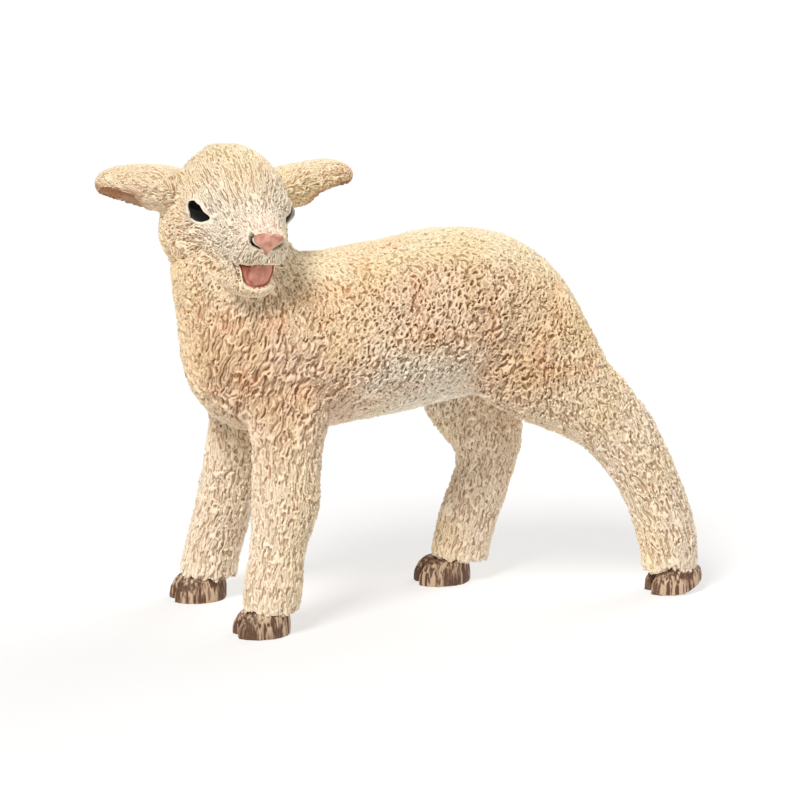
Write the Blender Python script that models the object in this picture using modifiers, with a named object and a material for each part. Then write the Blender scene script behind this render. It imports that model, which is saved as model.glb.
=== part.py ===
"""Toy farm animal figure: a standing lamb that looks over its left shoulder and bleats.

The lamb faces -X, its left side is -Y and the floor is z = 0. Trunk, neck and legs are lofts that are blended
into one form, which is then parted into the mouldings. The mouldings plug together with pegs in sockets.
Units are metres.
"""

import math

import bmesh
import bpy
from mathutils import Matrix, Vector

MM = 0.001

# Trunk and neck
BODY_LENGTH = 42.8 * MM  # breast to rump
BODY_DEPTH = 17.0 * MM  # back to belly
BODY_WIDTH = 16.0 * MM
BELLY_HEIGHT = 19.5 * MM  # floor to belly
NECK_DEPTH = 12.6 * MM  # throat to nape
NECK_WIDTH = 11.4 * MM
NECK_RISE = 12.5 * MM  # middle of the trunk to the middle of the skull

# Legs and hooves
LEG_THICKNESS = 5.8 * MM  # of the shin, front to back
LEG_WIDTH = 4.8 * MM
FORE_STANCE = 13.6 * MM  # between the middles of the fore hooves
HIND_STANCE = 10.0 * MM
HOOF_LENGTH = 5.8 * MM
HOOF_WIDTH = 4.7 * MM
HOOF_HEIGHT = 2.4 * MM
CLEFT_DEPTH = 1.3 * MM
CLEFT_WIDTH = 0.9 * MM
HEEL_LIFT = 1.1 * MM  # of the left hind hoof, which is pushing off

# Tail
TAIL_LENGTH = 13.4 * MM
TAIL_THICKNESS = 3.4 * MM

# Head
HEAD_LENGTH = 14.9 * MM  # back of the skull to the nose
HEAD_HEIGHT = 11.4 * MM
HEAD_WIDTH = 11.2 * MM
HEAD_TURN = math.radians(94)  # to the lamb's left, from straight ahead
HEAD_PITCH = math.radians(13)  # nose down
HEAD_TILT = math.radians(7)  # left ear down
EAR_LENGTH = 9.7 * MM
EAR_HEIGHT = 5.6 * MM
EAR_THICKNESS = 4.1 * MM
EAR_WALL = 0.6 * MM
LEFT_EAR_SWEEP = math.radians(8)  # backwards from straight out
LEFT_EAR_LIFT = math.radians(10)
RIGHT_EAR_SWEEP = math.radians(42)
RIGHT_EAR_LIFT = math.radians(-15)
EAR_ROLL = math.radians(54)  # the opening turned down from straight ahead
EYE_LENGTH = 2.6 * MM
EYE_HEIGHT = 2.1 * MM
EYE_DEPTH = 1.6 * MM
EYE_YAW = math.radians(52)  # from straight ahead
EYE_SLANT = math.radians(28)  # inner corner down
MOUTH_WIDTH = 4.9 * MM
MOUTH_GAPE = 2.65 * MM
MOUTH_DEPTH = 5.2 * MM
TONGUE_WIDTH = 3.7 * MM
TONGUE_THICKNESS = 1.7 * MM
NOSE_WIDTH = 3.1 * MM
NOSE_HEIGHT = 1.9 * MM
NOSE_DEPTH = 1.6 * MM
NOSTRIL_WIDTH = 0.5 * MM

# Fits between the mouldings
SEAM_GAP = 0.3 * MM
PEG_CLEARANCE = 0.2 * MM
LEG_PEG_RADIUS = 1.2 * MM
LEG_PEG_LENGTH = 2.6 * MM  # on each side of the parting
NECK_PEG_RADIUS = 2.2 * MM
NECK_PEG_LENGTH = 5.0 * MM  # below the skull
HOOF_PEG_RADIUS = 0.9 * MM
HOOF_PEG_LENGTH = 2.0 * MM
TONGUE_PEG_RADIUS = 0.45 * MM
TONGUE_PEG_LENGTH = 1.3 * MM

# Fineness of the blended forms
BODY_VOXEL = 0.45 * MM
HEAD_VOXEL = 0.25 * MM
BODY_SMOOTHING_STEPS = 9
HEAD_SMOOTHING_STEPS = 14
BODY_FACES = 3750
HEAD_FACES = 1900
RING_POINTS = 16
SLIM_RING_POINTS = 10
HOOF_POINTS = 30
ROUND_SIDES = 16
ROUND_RINGS = 10
PEG_SIDES = 16
SHARP_ANGLE = math.radians(40)

# Rings of the trunk: place along the length, top and bottom as shares of the depth above the belly, half
# width as a share of the width.
TRUNK_SHARES = [
    (0.041, 0.76, 0.41, 0.15),
    (0.066, 0.92, 0.14, 0.31),
    (0.132, 1.00, -0.04, 0.44),
    (0.220, 0.99, -0.08, 0.49),
    (0.360, 0.945, -0.075, 0.49),
    (0.500, 0.985, -0.04, 0.50),
    (0.640, 1.055, 0.025, 0.51),
    (0.780, 1.02, 0.07, 0.49),
    (0.880, 0.88, 0.12, 0.41),
    (0.950, 0.66, 0.20, 0.29),
    (0.980, 0.50, 0.30, 0.15),
]

# Rings of the neck: place along the body length, height as a share of the neck's rise above the trunk's
# middle, then the half depth and half width as shares.
NECK_SHARES = [
    (0.215, -0.15, 0.56, 0.62),
    (0.190, 0.15, 0.54, 0.60),
    (0.166, 0.45, 0.505, 0.55),
    (0.149, 0.68, 0.485, 0.50),
    (0.150, 0.82, 0.42, 0.44),
    (0.152, 0.92, 0.30, 0.34),
]
SKULL_ALONG_SHARE = 0.152

# Rings of a leg from the hip down: place along the body length, height as a share of the belly height, spread
# from the hip to the hoof, then half thickness and half width as shares of the leg's.
FORELEG_LEFT_SHARES = [
    (0.262, 1.40, 0.00, 0.85, 0.52),
    (0.254, 1.18, 0.15, 0.78, 0.60),
    (0.252, 1.02, 0.35, 0.66, 0.60),
    (0.238, 0.78, 0.60, 0.57, 0.54),
    (0.240, 0.65, 0.73, 0.62, 0.53),
    (0.225, 0.54, 0.83, 0.53, 0.51),
    (0.211, 0.41, 0.92, 0.46, 0.46),
    (0.202, 0.25, 1.00, 0.51, 0.50),
    (0.192, 0.05, 1.00, 0.51, 0.48),
]
FORELEG_RIGHT_SHARES = [
    (0.240, 1.40, 0.00, 0.85, 0.52),
    (0.228, 1.18, 0.15, 0.76, 0.60),
    (0.221, 0.98, 0.35, 0.58, 0.60),
    (0.200, 0.72, 0.60, 0.53, 0.54),
    (0.185, 0.52, 0.80, 0.51, 0.52),
    (0.168, 0.37, 0.92, 0.50, 0.47),
    (0.147, 0.21, 1.00, 0.50, 0.50),
    (0.132, 0.03, 1.00, 0.475, 0.48),
]
HINDLEG_LEFT_SHARES = [
    (0.770, 1.45, 0.00, 1.20, 0.66),
    (0.825, 1.29, 0.15, 1.15, 0.72),
    (0.888, 1.145, 0.35, 0.95, 0.70),
    (0.956, 1.028, 0.47, 0.72, 0.64),
    (1.018, 0.915, 0.60, 0.645, 0.60),
    (1.081, 0.724, 0.76, 0.575, 0.54),
    (1.124, 0.53, 0.88, 0.52, 0.48),
    (1.157, 0.34, 0.98, 0.545, 0.50),
    (1.172, 0.02, 1.00, 0.495, 0.48),
]
HINDLEG_RIGHT_SHARES = [
    (0.760, 1.45, 0.00, 1.15, 0.66),
    (0.748, 1.17, 0.20, 1.02, 0.72),
    (0.754, 0.93, 0.42, 0.85, 0.66),
    (0.810, 0.73, 0.62, 0.645, 0.56),
    (0.795, 0.58, 0.78, 0.50, 0.51),
    (0.771, 0.42, 0.90, 0.50, 0.47),
    (0.744, 0.25, 1.00, 0.545, 0.50),
    (0.716, 0.03, 1.00, 0.48, 0.47),
]
# Where a leg parts from the trunk, counted down its rings, and the place of its hoof along the body length.
FORELEG_LEFT_PLACE_SHARES = (2.5, 0.172)
FORELEG_RIGHT_PLACE_SHARES = (2.3, 0.117)
HINDLEG_LEFT_PLACE_SHARES = (2.9, 1.172)
HINDLEG_RIGHT_PLACE_SHARES = (2.3, 0.690)
HIP_SHARE = 0.27  # of the body width, from the middle plane to the top of each leg
PARTING_SPAN_SHARE = 0.3  # of the body length, to each side of a leg's parting

# Rings of a hoof: height, half length, half width and shift to the heel, as shares of the hoof's sizes.
HOOF_SHARES = [
    (0.00, 0.50, 0.50, 0.00),
    (0.45, 0.49, 0.49, 0.01),
    (0.85, 0.43, 0.44, 0.05),
    (1.00, 0.37, 0.39, 0.07),
]
TOE_SHARE = 0.55  # of the hoof's length that stays on the floor when the heel is up

# Middles of the tail: place along the body length, then the drop below its root as a share of its length,
# and the radius as a share of its thickness.
TAIL_SHARES = [
    (0.880, -0.10, 0.30),
    (0.900, 0.02, 0.42),
    (0.937, 0.22, 0.50),
    (0.972, 0.44, 0.52),
    (1.014, 0.72, 0.52),
    (1.040, 0.92, 0.46),
    (1.048, 1.01, 0.24),
]
TAIL_ROOT_SHARE = 0.68  # of the body depth, above the belly

# Rings of the skull with the muzzle: place along the head's length from the middle of the skull, top and
# bottom as shares of its height, and half width as a share of its width.
SKULL_SHARES = [
    (-0.340, 0.24, -0.18, 0.22),
    (-0.300, 0.39, -0.32, 0.36),
    (-0.200, 0.51, -0.43, 0.46),
    (-0.067, 0.55, -0.47, 0.50),
    (0.067, 0.53, -0.46, 0.50),
    (0.175, 0.46, -0.44, 0.465),
    (0.280, 0.37, -0.42, 0.375),
    (0.400, 0.29, -0.35, 0.305),
    (0.510, 0.25, -0.26, 0.27),
    (0.590, 0.22, -0.20, 0.25),
    (0.645, 0.17, -0.16, 0.215),
    (0.670, 0.09, -0.10, 0.15),
]
JAW_SHARES = [
    (0.000, -0.20, -0.49, 0.36),
    (0.150, -0.22, -0.51, 0.31),
    (0.300, -0.24, -0.52, 0.24),
    (0.430, -0.24, -0.50, 0.235),
    (0.530, -0.24, -0.475, 0.225),
    (0.600, -0.27, -0.445, 0.190),
    (0.622, -0.32, -0.415, 0.130),
]

# Swellings of the face: middle along, across and up, then half sizes, all as shares of the head's. Each is
# mirrored across the head.
SWELLING_SHARES = [
    (0.070, 0.285, 0.160, 0.25, 0.165, 0.16),
    (-0.070, 0.070, 0.345, 0.27, 0.21, 0.16),
    (-0.040, 0.345, -0.200, 0.28, 0.20, 0.33),
    (0.490, 0.135, -0.085, 0.15, 0.115, 0.10),
]
EYE_SHARES = (0.180, 0.402, 0.100)  # middle of an eye: along, across, up
EAR_ROOT_SHARES = (-0.110, 0.360, 0.105)
NOSE_SHARES = (0.630, 0.125)  # middle of the nose pad: along, up
MOUTH_SHARES = (0.555, -0.226)  # middle of the mouth's opening: along, up

# Rings of an ear: place from the root to the tip, half height and half thickness as shares of the ear's.
EAR_SHARES = [
    (0.00, 0.50, 0.48),
    (0.16, 0.55, 0.54),
    (0.32, 0.58, 0.56),
    (0.52, 0.63, 0.53),
    (0.72, 0.57, 0.47),
    (0.88, 0.41, 0.34),
    (0.98, 0.10, 0.12),
]
EAR_HOLLOW_SHARES = (0.42, 0.94)  # where the hollow starts and ends along the ear

# Sections of the mouth: depth behind the lips, half width and half height as shares of the mouth's.
MOUTH_SECTION_SHARES = [
    (1.00, 0.125, 0.06),
    (0.85, 0.275, 0.14),
    (0.45, 0.425, 0.31),
    (0.00, 0.500, 0.50),
]

SLIVER_SHARE = 0.125  # of a size that the inset of the mouth leaves at least
ROOF_SHARE = 0.28  # of the gape, from the mouth's corners up to its roof

# Rings of the tongue: depth behind the lips as a share of the mouth's depth, half width and half thickness as
# shares of the tongue's, and height over the mouth's middle as a share of the gape.
TONGUE_SHARES = [
    (0.92, 0.15, 0.18, 0.06),
    (0.70, 0.31, 0.35, 0.04),
    (0.40, 0.44, 0.50, 0.00),
    (0.12, 0.48, 0.50, -0.06),
    (-0.02, 0.36, 0.34, -0.10),
]

# Middles of a nostril's bar: angle round the nose pad in degrees, then its width as a share of the nostril's.
# It runs that far out from the middle of the pad, across and up, as shares of the pad's half sizes.
NOSTRIL_SHARES = [(20, 1.0), (-15, 1.0), (-50, 0.8), (-80, 0.4)]
NOSTRIL_REACH_SHARES = (0.72, 0.68)

# Paints: colour and roughness
TORSO_PAINT = ((0.80, 0.66, 0.45), 0.7)
TAIL_PAINT = ((0.84, 0.74, 0.55), 0.7)
LEG_PAINT = ((0.84, 0.73, 0.58), 0.7)
HOOF_PAINT = ((0.30, 0.20, 0.13), 0.55)
EYE_PAINT = ((0.012, 0.010, 0.010), 0.08)
EAR_PAINT = ((0.84, 0.76, 0.60), 0.7)
HEAD_PAINT = ((0.87, 0.81, 0.68), 0.7)
TONGUE_PAINT = ((0.78, 0.33, 0.28), 0.4)
NOSE_PAINT = ((0.80, 0.50, 0.44), 0.5)


def link(name, data):
    made = bpy.data.objects.new(name, data)
    bpy.context.scene.collection.objects.link(made)
    return made


def mesh_object(name, bm):
    """An object of a closed mesh, which is turned right side out if need be."""
    if bm.calc_volume(signed=True) < 0:
        bmesh.ops.reverse_faces(bm, faces=bm.faces)
    mesh = bpy.data.meshes.new(name)
    bm.to_mesh(mesh)
    bm.free()
    return link(name, mesh)


def evaluated(obj, name):
    """The object with its modifiers and its placing worked into its mesh. The old one is removed."""
    bpy.context.view_layer.update()
    graph = bpy.context.evaluated_depsgraph_get()
    mesh = bpy.data.meshes.new_from_object(obj.evaluated_get(graph))
    mesh.transform(obj.matrix_world)
    bpy.data.objects.remove(obj)
    return link(name, mesh)


def copy_of(obj, name):
    return link(name, obj.data.copy())


def placed(obj, placing):
    obj.data.transform(placing)
    return obj


def ring(centre, across, up, half_across, half_up, count=RING_POINTS):
    """The points of an ellipse round a centre, in the plane of two unit vectors."""
    turns = [2 * math.pi * i / count for i in range(count)]
    return [centre + across * half_across * math.cos(a) + up * half_up * math.sin(a) for a in turns]


def skin(name, rings):
    """A closed skin over rings of equal counts."""
    bm = bmesh.new()
    rows = [[bm.verts.new(p) for p in points] for points in rings]
    count = len(rows[0])
    for low, high in zip(rows, rows[1:]):
        for i in range(count):
            j = (i + 1) % count
            bm.faces.new((low[i], low[j], high[j], high[i]))
    bm.faces.new(rows[0][::-1])
    bm.faces.new(rows[-1])
    return mesh_object(name, bm)


def rounded(obj, levels):
    fine = obj.modifiers.new("rounding", "SUBSURF")
    fine.levels = fine.render_levels = levels
    return obj


def path_directions(points):
    """Unit vectors along a path, each the mean direction through its point."""
    ends = [points[0], *points, points[-1]]
    return [(ends[i + 2] - ends[i]).normalized() for i in range(len(points))]


def limb(name, centres, half_depths, half_widths, levels=2):
    """A loft along a path in the side view, with its depth in that view and its width across it."""
    side = Vector((0, 1, 0))
    rings = []
    for centre, along, depth, width in zip(centres, path_directions(centres), half_depths, half_widths):
        across = (side - along * side.dot(along)).normalized()
        rings.append(ring(centre, across.cross(along), across, depth, width))
    return rounded(skin(name, rings), levels)


def ellipsoid(name, radii):
    bm = bmesh.new()
    bmesh.ops.create_uvsphere(bm, u_segments=ROUND_SIDES, v_segments=ROUND_RINGS, radius=1)
    bm.transform(Matrix.Diagonal((*radii, 1)))
    return mesh_object(name, bm)


def peg(name, centre, along, low, high, radius):
    """A round bar along a direction, from low to high past its centre."""
    bm = bmesh.new()
    bmesh.ops.create_cone(
        bm, cap_ends=True, segments=PEG_SIDES, radius1=radius, radius2=radius, depth=high - low
    )
    turn = along.to_track_quat("Z", "Y").to_matrix().to_4x4()
    bm.transform(Matrix.Translation(centre + along * (low + high) / 2) @ turn)
    return mesh_object(name, bm)


def box(name, low, high, placing=Matrix.Identity(4)):
    bm = bmesh.new()
    bmesh.ops.create_cube(bm, size=1)
    low, high = Vector(low), Vector(high)
    bm.transform(placing @ Matrix.Translation((low + high) / 2) @ Matrix.Diagonal((*(high - low), 1)))
    return mesh_object(name, bm)


def swollen(obj, name, gap):
    """A copy of a baked form that stands proud of it by a gap."""
    made = copy_of(obj, name)
    grow = made.modifiers.new("gap", "DISPLACE")
    grow.strength = gap
    grow.mid_level = 0
    return made


def boolean(obj, tool, operation):
    """Cuts, joins or trims by a tool, which is then kept with the cutters."""
    cut = obj.modifiers.new(tool.name, "BOOLEAN")
    cut.operation = operation
    cut.solver = "EXACT"
    cut.object = tool
    CUTTERS.objects.link(tool)
    bpy.context.scene.collection.objects.unlink(tool)
    tool.hide_render = True
    tool.display_type = "WIRE"


def blended(name, forms, voxel, smoothing, faces):
    """One closed skin round several overlapping forms, with smooth creases and about so many triangles."""
    bm = bmesh.new()
    for form in forms:
        baked = evaluated(form, form.name)
        bm.from_mesh(baked.data)
        bpy.data.objects.remove(baked)
    joined = mesh_object(name, bm)
    remesh = joined.modifiers.new("remesh", "REMESH")
    remesh.mode = "VOXEL"
    remesh.voxel_size = voxel
    soften = joined.modifiers.new("soften", "SMOOTH")
    soften.iterations = smoothing
    fine = evaluated(joined, name)
    thin = fine.modifiers.new("thin", "DECIMATE")
    thin.ratio = faces / (2 * len(fine.data.polygons))
    thin.use_collapse_triangulate = True
    return evaluated(fine, name)


def finish(obj, name, paint):
    """Names a sub-part, moves it to the part's collection and gives it its material."""
    obj.name = obj.data.name = name
    PARTS.objects.link(obj)
    bpy.context.scene.collection.objects.unlink(obj)
    colour, roughness = paint
    material = bpy.data.materials.new(name)
    material.use_nodes = True
    material.diffuse_color = (*colour, 1)
    shader = material.node_tree.nodes["Principled BSDF"]
    shader.inputs["Base Color"].default_value = (*colour, 1)
    shader.inputs["Roughness"].default_value = roughness
    shader.inputs["Metallic"].default_value = 0
    obj.data.materials.clear()
    obj.data.materials.append(material)
    obj.data.shade_smooth()
    obj.data.set_sharp_from_angle(angle=SHARP_ANGLE)


def trunk_middle_height():
    return BELLY_HEIGHT + BODY_DEPTH / 2


def trunk_form():
    rings = []
    for along, top, bottom, half_width in TRUNK_SHARES:
        centre = Vector((along * BODY_LENGTH, 0, BELLY_HEIGHT + (top + bottom) / 2 * BODY_DEPTH))
        half_depth = (top - bottom) / 2 * BODY_DEPTH
        rings.append(ring(centre, Vector((0, 1, 0)), Vector((0, 0, 1)), half_width * BODY_WIDTH, half_depth))
    return rounded(skin("trunk_form", rings), 2)


def neck_form():
    centres = [
        Vector((along * BODY_LENGTH, 0, trunk_middle_height() + rise * NECK_RISE))
        for along, rise, _, _ in NECK_SHARES
    ]
    depths = [row[2] * NECK_DEPTH for row in NECK_SHARES]
    widths = [row[3] * NECK_WIDTH for row in NECK_SHARES]
    return limb("neck_form", centres, depths, widths)


def tail_form():
    root = BELLY_HEIGHT + TAIL_ROOT_SHARE * BODY_DEPTH
    centres = [Vector((along * BODY_LENGTH, 0, root - drop * TAIL_LENGTH)) for along, drop, _ in TAIL_SHARES]
    radii = [row[2] * TAIL_THICKNESS for row in TAIL_SHARES]
    return evaluated(limb("tail_form", centres, radii, radii, 1), "tail_form")


class Leg:
    """One leg with its hoof: its rings, its side, and where it parts from the trunk."""

    def __init__(self, name, hoof_name, rows, place_shares, side, stance, heel_lift=0.0):
        self.name = name
        self.hoof_name = hoof_name
        self.side = side
        self.heel_lift = heel_lift
        hip = HIP_SHARE * BODY_WIDTH
        self.centres = [
            Vector((along * BODY_LENGTH, side * (hip + spread * (stance / 2 - hip)), height * BELLY_HEIGHT))
            for along, height, spread, _, _ in rows
        ]
        self.depths = [row[3] * LEG_THICKNESS for row in rows]
        self.widths = [row[4] * LEG_WIDTH for row in rows]
        parting_share, hoof_share = place_shares
        step = int(parting_share)
        above, below = self.centres[step], self.centres[step + 1]
        self.parting = above.lerp(below, parting_share - step)
        self.up = (above - below).normalized()
        self.hoof_middle = Vector((hoof_share * BODY_LENGTH, side * stance / 2, 0))

    def form(self):
        return limb(self.name + "_form", self.centres, self.depths, self.widths)

    def parting_block(self, name, reach):
        """A block from the middle plane out that takes in the leg below its parting, and a reach more."""
        up = Vector((self.up.x, 0, self.up.z)).normalized()
        turn = Matrix.Rotation(math.atan2(up.x, up.z), 4, "Y")
        span = PARTING_SPAN_SHARE * BODY_LENGTH
        low_y, high_y = sorted((-self.parting.y, self.side * BODY_WIDTH))
        low = (-span, low_y, -2 * BELLY_HEIGHT)
        high = (span, high_y, reach)
        return box(name, low, high, Matrix.Translation(self.parting) @ turn)

    def moulding(self, body):
        made = copy_of(body, self.name)
        boolean(made, self.parting_block(self.name + "_block", 0.0), "INTERSECT")
        plug = peg(self.name + "_peg", self.parting, self.up, -LEG_PEG_LENGTH, LEG_PEG_LENGTH, LEG_PEG_RADIUS)
        boolean(made, plug, "UNION")
        boolean(made, self.hoof_peg(self.hoof_name + "_socket", PEG_CLEARANCE), "DIFFERENCE")
        return made

    def cut_socket(self, torso):
        boolean(torso, self.parting_block(self.name + "_clearing", SEAM_GAP), "DIFFERENCE")
        reach = LEG_PEG_LENGTH + SEAM_GAP
        radius = LEG_PEG_RADIUS + PEG_CLEARANCE
        socket = peg(self.name + "_socket", self.parting, self.up, -LEG_PEG_LENGTH, reach, radius)
        boolean(torso, socket, "DIFFERENCE")

    def hoof_peg(self, name, clearance):
        centre = self.centres[-1].copy()
        centre.z = HOOF_HEIGHT
        top = HOOF_PEG_LENGTH + clearance
        return peg(name, centre, Vector((0, 0, 1)), -HOOF_HEIGHT / 2, top, HOOF_PEG_RADIUS + clearance)

    def hoof(self):
        rings = []
        for height, length, width, shift in HOOF_SHARES:
            outline = hoof_outline(length * HOOF_LENGTH, width * HOOF_WIDTH)
            middle = self.hoof_middle + Vector((shift * HOOF_LENGTH, 0, height * HOOF_HEIGHT))
            rings.append([middle + p + Vector((0, 0, (1 - height) * self.lift(p.x))) for p in outline])
        made = skin(self.hoof_name, rings)
        boolean(made, self.hoof_peg(self.hoof_name + "_peg", 0.0), "UNION")
        return made

    def lift(self, x):
        """How far the sole is off the floor, x behind the middle of the hoof."""
        toe_end = (TOE_SHARE - 1 / 2) * HOOF_LENGTH
        return self.heel_lift * max(0.0, x - toe_end) / (HOOF_LENGTH / 2 - toe_end)


def hoof_outline(half_length, half_width):
    """An oval with its toe to -X and the cleft as a notch in its front."""
    points = []
    for i in range(HOOF_POINTS):
        turn = 2 * math.pi * i / HOOF_POINTS
        x, y = -half_length * math.cos(turn), half_width * math.sin(turn)
        if x < 0:
            x += CLEFT_DEPTH * math.exp(-((y / (CLEFT_WIDTH / 2)) ** 2))
        points.append(Vector((x, y, 0)))
    return points


def head_placing():
    """The head's own frame on the neck, with +X to the nose and +Y to the lamb's left cheek."""
    middle = Vector((SKULL_ALONG_SHARE * BODY_LENGTH, 0, trunk_middle_height() + NECK_RISE))
    turn = Matrix.Rotation(math.pi + HEAD_TURN, 4, "Z")
    pitch = Matrix.Rotation(HEAD_PITCH, 4, "Y")
    tilt = Matrix.Rotation(-HEAD_TILT, 4, "X")
    return Matrix.Translation(middle) @ turn @ pitch @ tilt


def on_head(along, across, up):
    return Vector((along * HEAD_LENGTH, across * HEAD_WIDTH, up * HEAD_HEIGHT))


def head_loft(name, shares):
    rings = []
    for along, top, bottom, half_width in shares:
        half_height = (top - bottom) / 2 * HEAD_HEIGHT
        centre = on_head(along, 0, (top + bottom) / 2)
        rings.append(ring(centre, Vector((0, 1, 0)), Vector((0, 0, 1)), half_width * HEAD_WIDTH, half_height))
    return rounded(skin(name, rings), 2)


def head_form():
    forms = [head_loft("skull_form", SKULL_SHARES), head_loft("jaw_form", JAW_SHARES)]
    for along, across, up, length, width, height in SWELLING_SHARES:
        for side in (-1, 1):
            swelling = ellipsoid("swelling", on_head(length, width, height))
            swelling.location = on_head(along, side * across, up)
            forms.append(swelling)
    return blended("head_form", forms, HEAD_VOXEL, HEAD_SMOOTHING_STEPS, HEAD_FACES)


def eye(name, side, clearance):
    """An almond of an eye, longest from corner to corner, that sits in the head past its middle."""
    radii = (EYE_DEPTH / 2 + clearance, EYE_LENGTH / 2 + clearance, EYE_HEIGHT / 2 + clearance)
    along, across, up = EYE_SHARES
    yaw = Matrix.Rotation(side * EYE_YAW, 4, "Z")
    slant = Matrix.Rotation(-side * EYE_SLANT, 4, "X")
    placing = Matrix.Translation(on_head(along, side * across, up)) @ yaw @ slant
    return placed(ellipsoid(name, radii), placing)


def ear_placing(side):
    """The ear's own frame on the head, with +X out to the tip and +Y to where the ear opens."""
    along, across, up = EAR_ROOT_SHARES
    sweep, lift = (LEFT_EAR_SWEEP, LEFT_EAR_LIFT) if side > 0 else (RIGHT_EAR_SWEEP, RIGHT_EAR_LIFT)
    root = Matrix.Translation(on_head(along, side * across, up))
    outward = Matrix.Rotation(side * (math.pi / 2 + sweep), 4, "Z")
    raised = Matrix.Rotation(-lift, 4, "Y")
    mirror = Matrix.Diagonal((1, -side, 1, 1))
    roll = Matrix.Rotation(-EAR_ROLL, 4, "X")
    return root @ outward @ raised @ mirror @ roll


def ear_loft(name, side, rows):
    """A leaf over rings at a place along the ear, so far to its front, with a half height and thickness."""
    sides = Vector((0, 1, 0)), Vector((0, 0, 1))
    rings = [
        ring(Vector((place, front, 0)), *sides, thickness, height, SLIM_RING_POINTS)
        for place, front, height, thickness in rows
    ]
    made = rounded(skin(name, rings), 1)
    made.matrix_world = ear_placing(side)
    baked = evaluated(made, name)
    bm = bmesh.new()
    bm.from_mesh(baked.data)
    bpy.data.objects.remove(baked)
    return mesh_object(name, bm)


def ear_form(side):
    rows = [
        (place * EAR_LENGTH, 0.0, height * EAR_HEIGHT, thickness * EAR_THICKNESS)
        for place, height, thickness in EAR_SHARES
    ]
    return ear_loft("ear_form", side, rows)


def ear_hollow(side):
    """The inside of the ear, a smaller leaf set forward so that a wall stays behind it and round it."""
    start, end = EAR_HOLLOW_SHARES
    rows = []
    for place, height, thickness in EAR_SHARES:
        along = (start + place * (end - start)) * EAR_LENGTH
        half_height = height * (EAR_HEIGHT - 2 * EAR_WALL)
        half_thickness = 2 * thickness * (EAR_THICKNESS - EAR_WALL)
        rows.append((along, EAR_THICKNESS / 2, half_height, half_thickness))
    return ear_loft("ear_hollow", side, rows)


def lips():
    along, up = MOUTH_SHARES
    return on_head(along, 0, up)


def mouth(name, inset):
    """A wedge that widens to the lips, with a flat roof and a round floor, all drawn in by an inset."""
    rows = [(-depth * MOUTH_DEPTH, width, height) for depth, width, height in MOUTH_SECTION_SHARES]
    rows.append((NOSE_DEPTH, *MOUTH_SECTION_SHARES[-1][1:]))
    rings = []
    for along, width, height in rows:
        points = []
        for i in range(RING_POINTS):
            turn = 2 * math.pi * i / RING_POINTS
            bow = ROOF_SHARE if turn < math.pi else 1 - ROOF_SHARE
            half_width = drawn_in(width * MOUTH_WIDTH, inset)
            half_height = drawn_in(2 * bow * height * MOUTH_GAPE, inset)
            middle = (1 - 2 * ROOF_SHARE) * height * MOUTH_GAPE
            up = middle + half_height * math.sin(turn)
            points.append(lips() + Vector((along, half_width * math.cos(turn), up)))
        rings.append(points)
    return skin(name, rings)


def drawn_in(size, inset):
    """A size less an inset, which leaves a sliver of it where the inset is the larger."""
    return max(size - inset, SLIVER_SHARE * size)


def tongue_form():
    rings = []
    for depth, width, thickness, rise in TONGUE_SHARES:
        centre = lips() + Vector((-depth * MOUTH_DEPTH, 0, rise * MOUTH_GAPE))
        half_width, half_thickness = width * TONGUE_WIDTH, thickness * TONGUE_THICKNESS
        sides = Vector((0, 1, 0)), Vector((0, 0, 1))
        rings.append(ring(centre, *sides, half_width, half_thickness, SLIM_RING_POINTS))
    return evaluated(rounded(skin("tongue", rings), 1), "tongue")


def tongue_peg(name, clearance):
    """The round root of the tongue, which runs on behind the mouth."""
    depth, _, _, rise = TONGUE_SHARES[1]
    root = lips() + Vector((-depth * MOUTH_DEPTH, 0, rise * MOUTH_GAPE))
    reach = (1 - depth) * MOUTH_DEPTH + TONGUE_PEG_LENGTH + clearance
    return peg(name, root, Vector((-1, 0, 0)), 0.0, reach, TONGUE_PEG_RADIUS + clearance)


def nose_form(name, clearance):
    along, up = NOSE_SHARES
    radii = (NOSE_DEPTH / 2 + clearance, NOSE_WIDTH / 2 + clearance, NOSE_HEIGHT / 2 + clearance)
    return placed(ellipsoid(name, radii), Matrix.Translation(on_head(along, 0, up)))


def nostril(side):
    """A comma of a nostril: a bent groove that starts wide beside the nose and curls under it."""
    along, up = NOSE_SHARES
    middle = on_head(along, 0, up)
    reach_across, reach_up = NOSTRIL_REACH_SHARES
    points = []
    for degrees, _ in NOSTRIL_SHARES:
        angle = math.radians(degrees)
        across, rise = reach_across * math.cos(angle), reach_up * math.sin(angle)
        front = math.sqrt(1 - across**2 - rise**2)
        nose_radii = Matrix.Diagonal((NOSE_DEPTH / 2, NOSE_WIDTH / 2, NOSE_HEIGHT / 2))
        points.append(middle + nose_radii @ Vector((front, side * across, rise)))
    front = Vector((1, 0, 0))
    rings = []
    for point, path, (_, share) in zip(points, path_directions(points), NOSTRIL_SHARES):
        radius = share * NOSTRIL_WIDTH / 2
        side_way = path.cross(front).normalized()
        rings.append(ring(point, front, side_way, 2 * radius, radius, SLIM_RING_POINTS))
    return skin("nostril", rings)


def body_form(legs, head, tail):
    """Trunk, neck and legs in one, over the hooves and with the seats of the head and the tail."""
    forms = [trunk_form(), neck_form(), *[leg.form() for leg in legs]]
    body = blended("body", forms, BODY_VOXEL, BODY_SMOOTHING_STEPS, BODY_FACES)
    low = (-BODY_LENGTH, -BODY_WIDTH, -BELLY_HEIGHT)
    high = (2 * BODY_LENGTH, BODY_WIDTH, HOOF_HEIGHT + SEAM_GAP)
    boolean(body, box("hoof_slab", low, high), "DIFFERENCE")
    boolean(body, swollen(head, "head_seat", SEAM_GAP), "DIFFERENCE")
    boolean(body, swollen(tail, "tail_seat", SEAM_GAP), "DIFFERENCE")
    return evaluated(body, "body")


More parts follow.
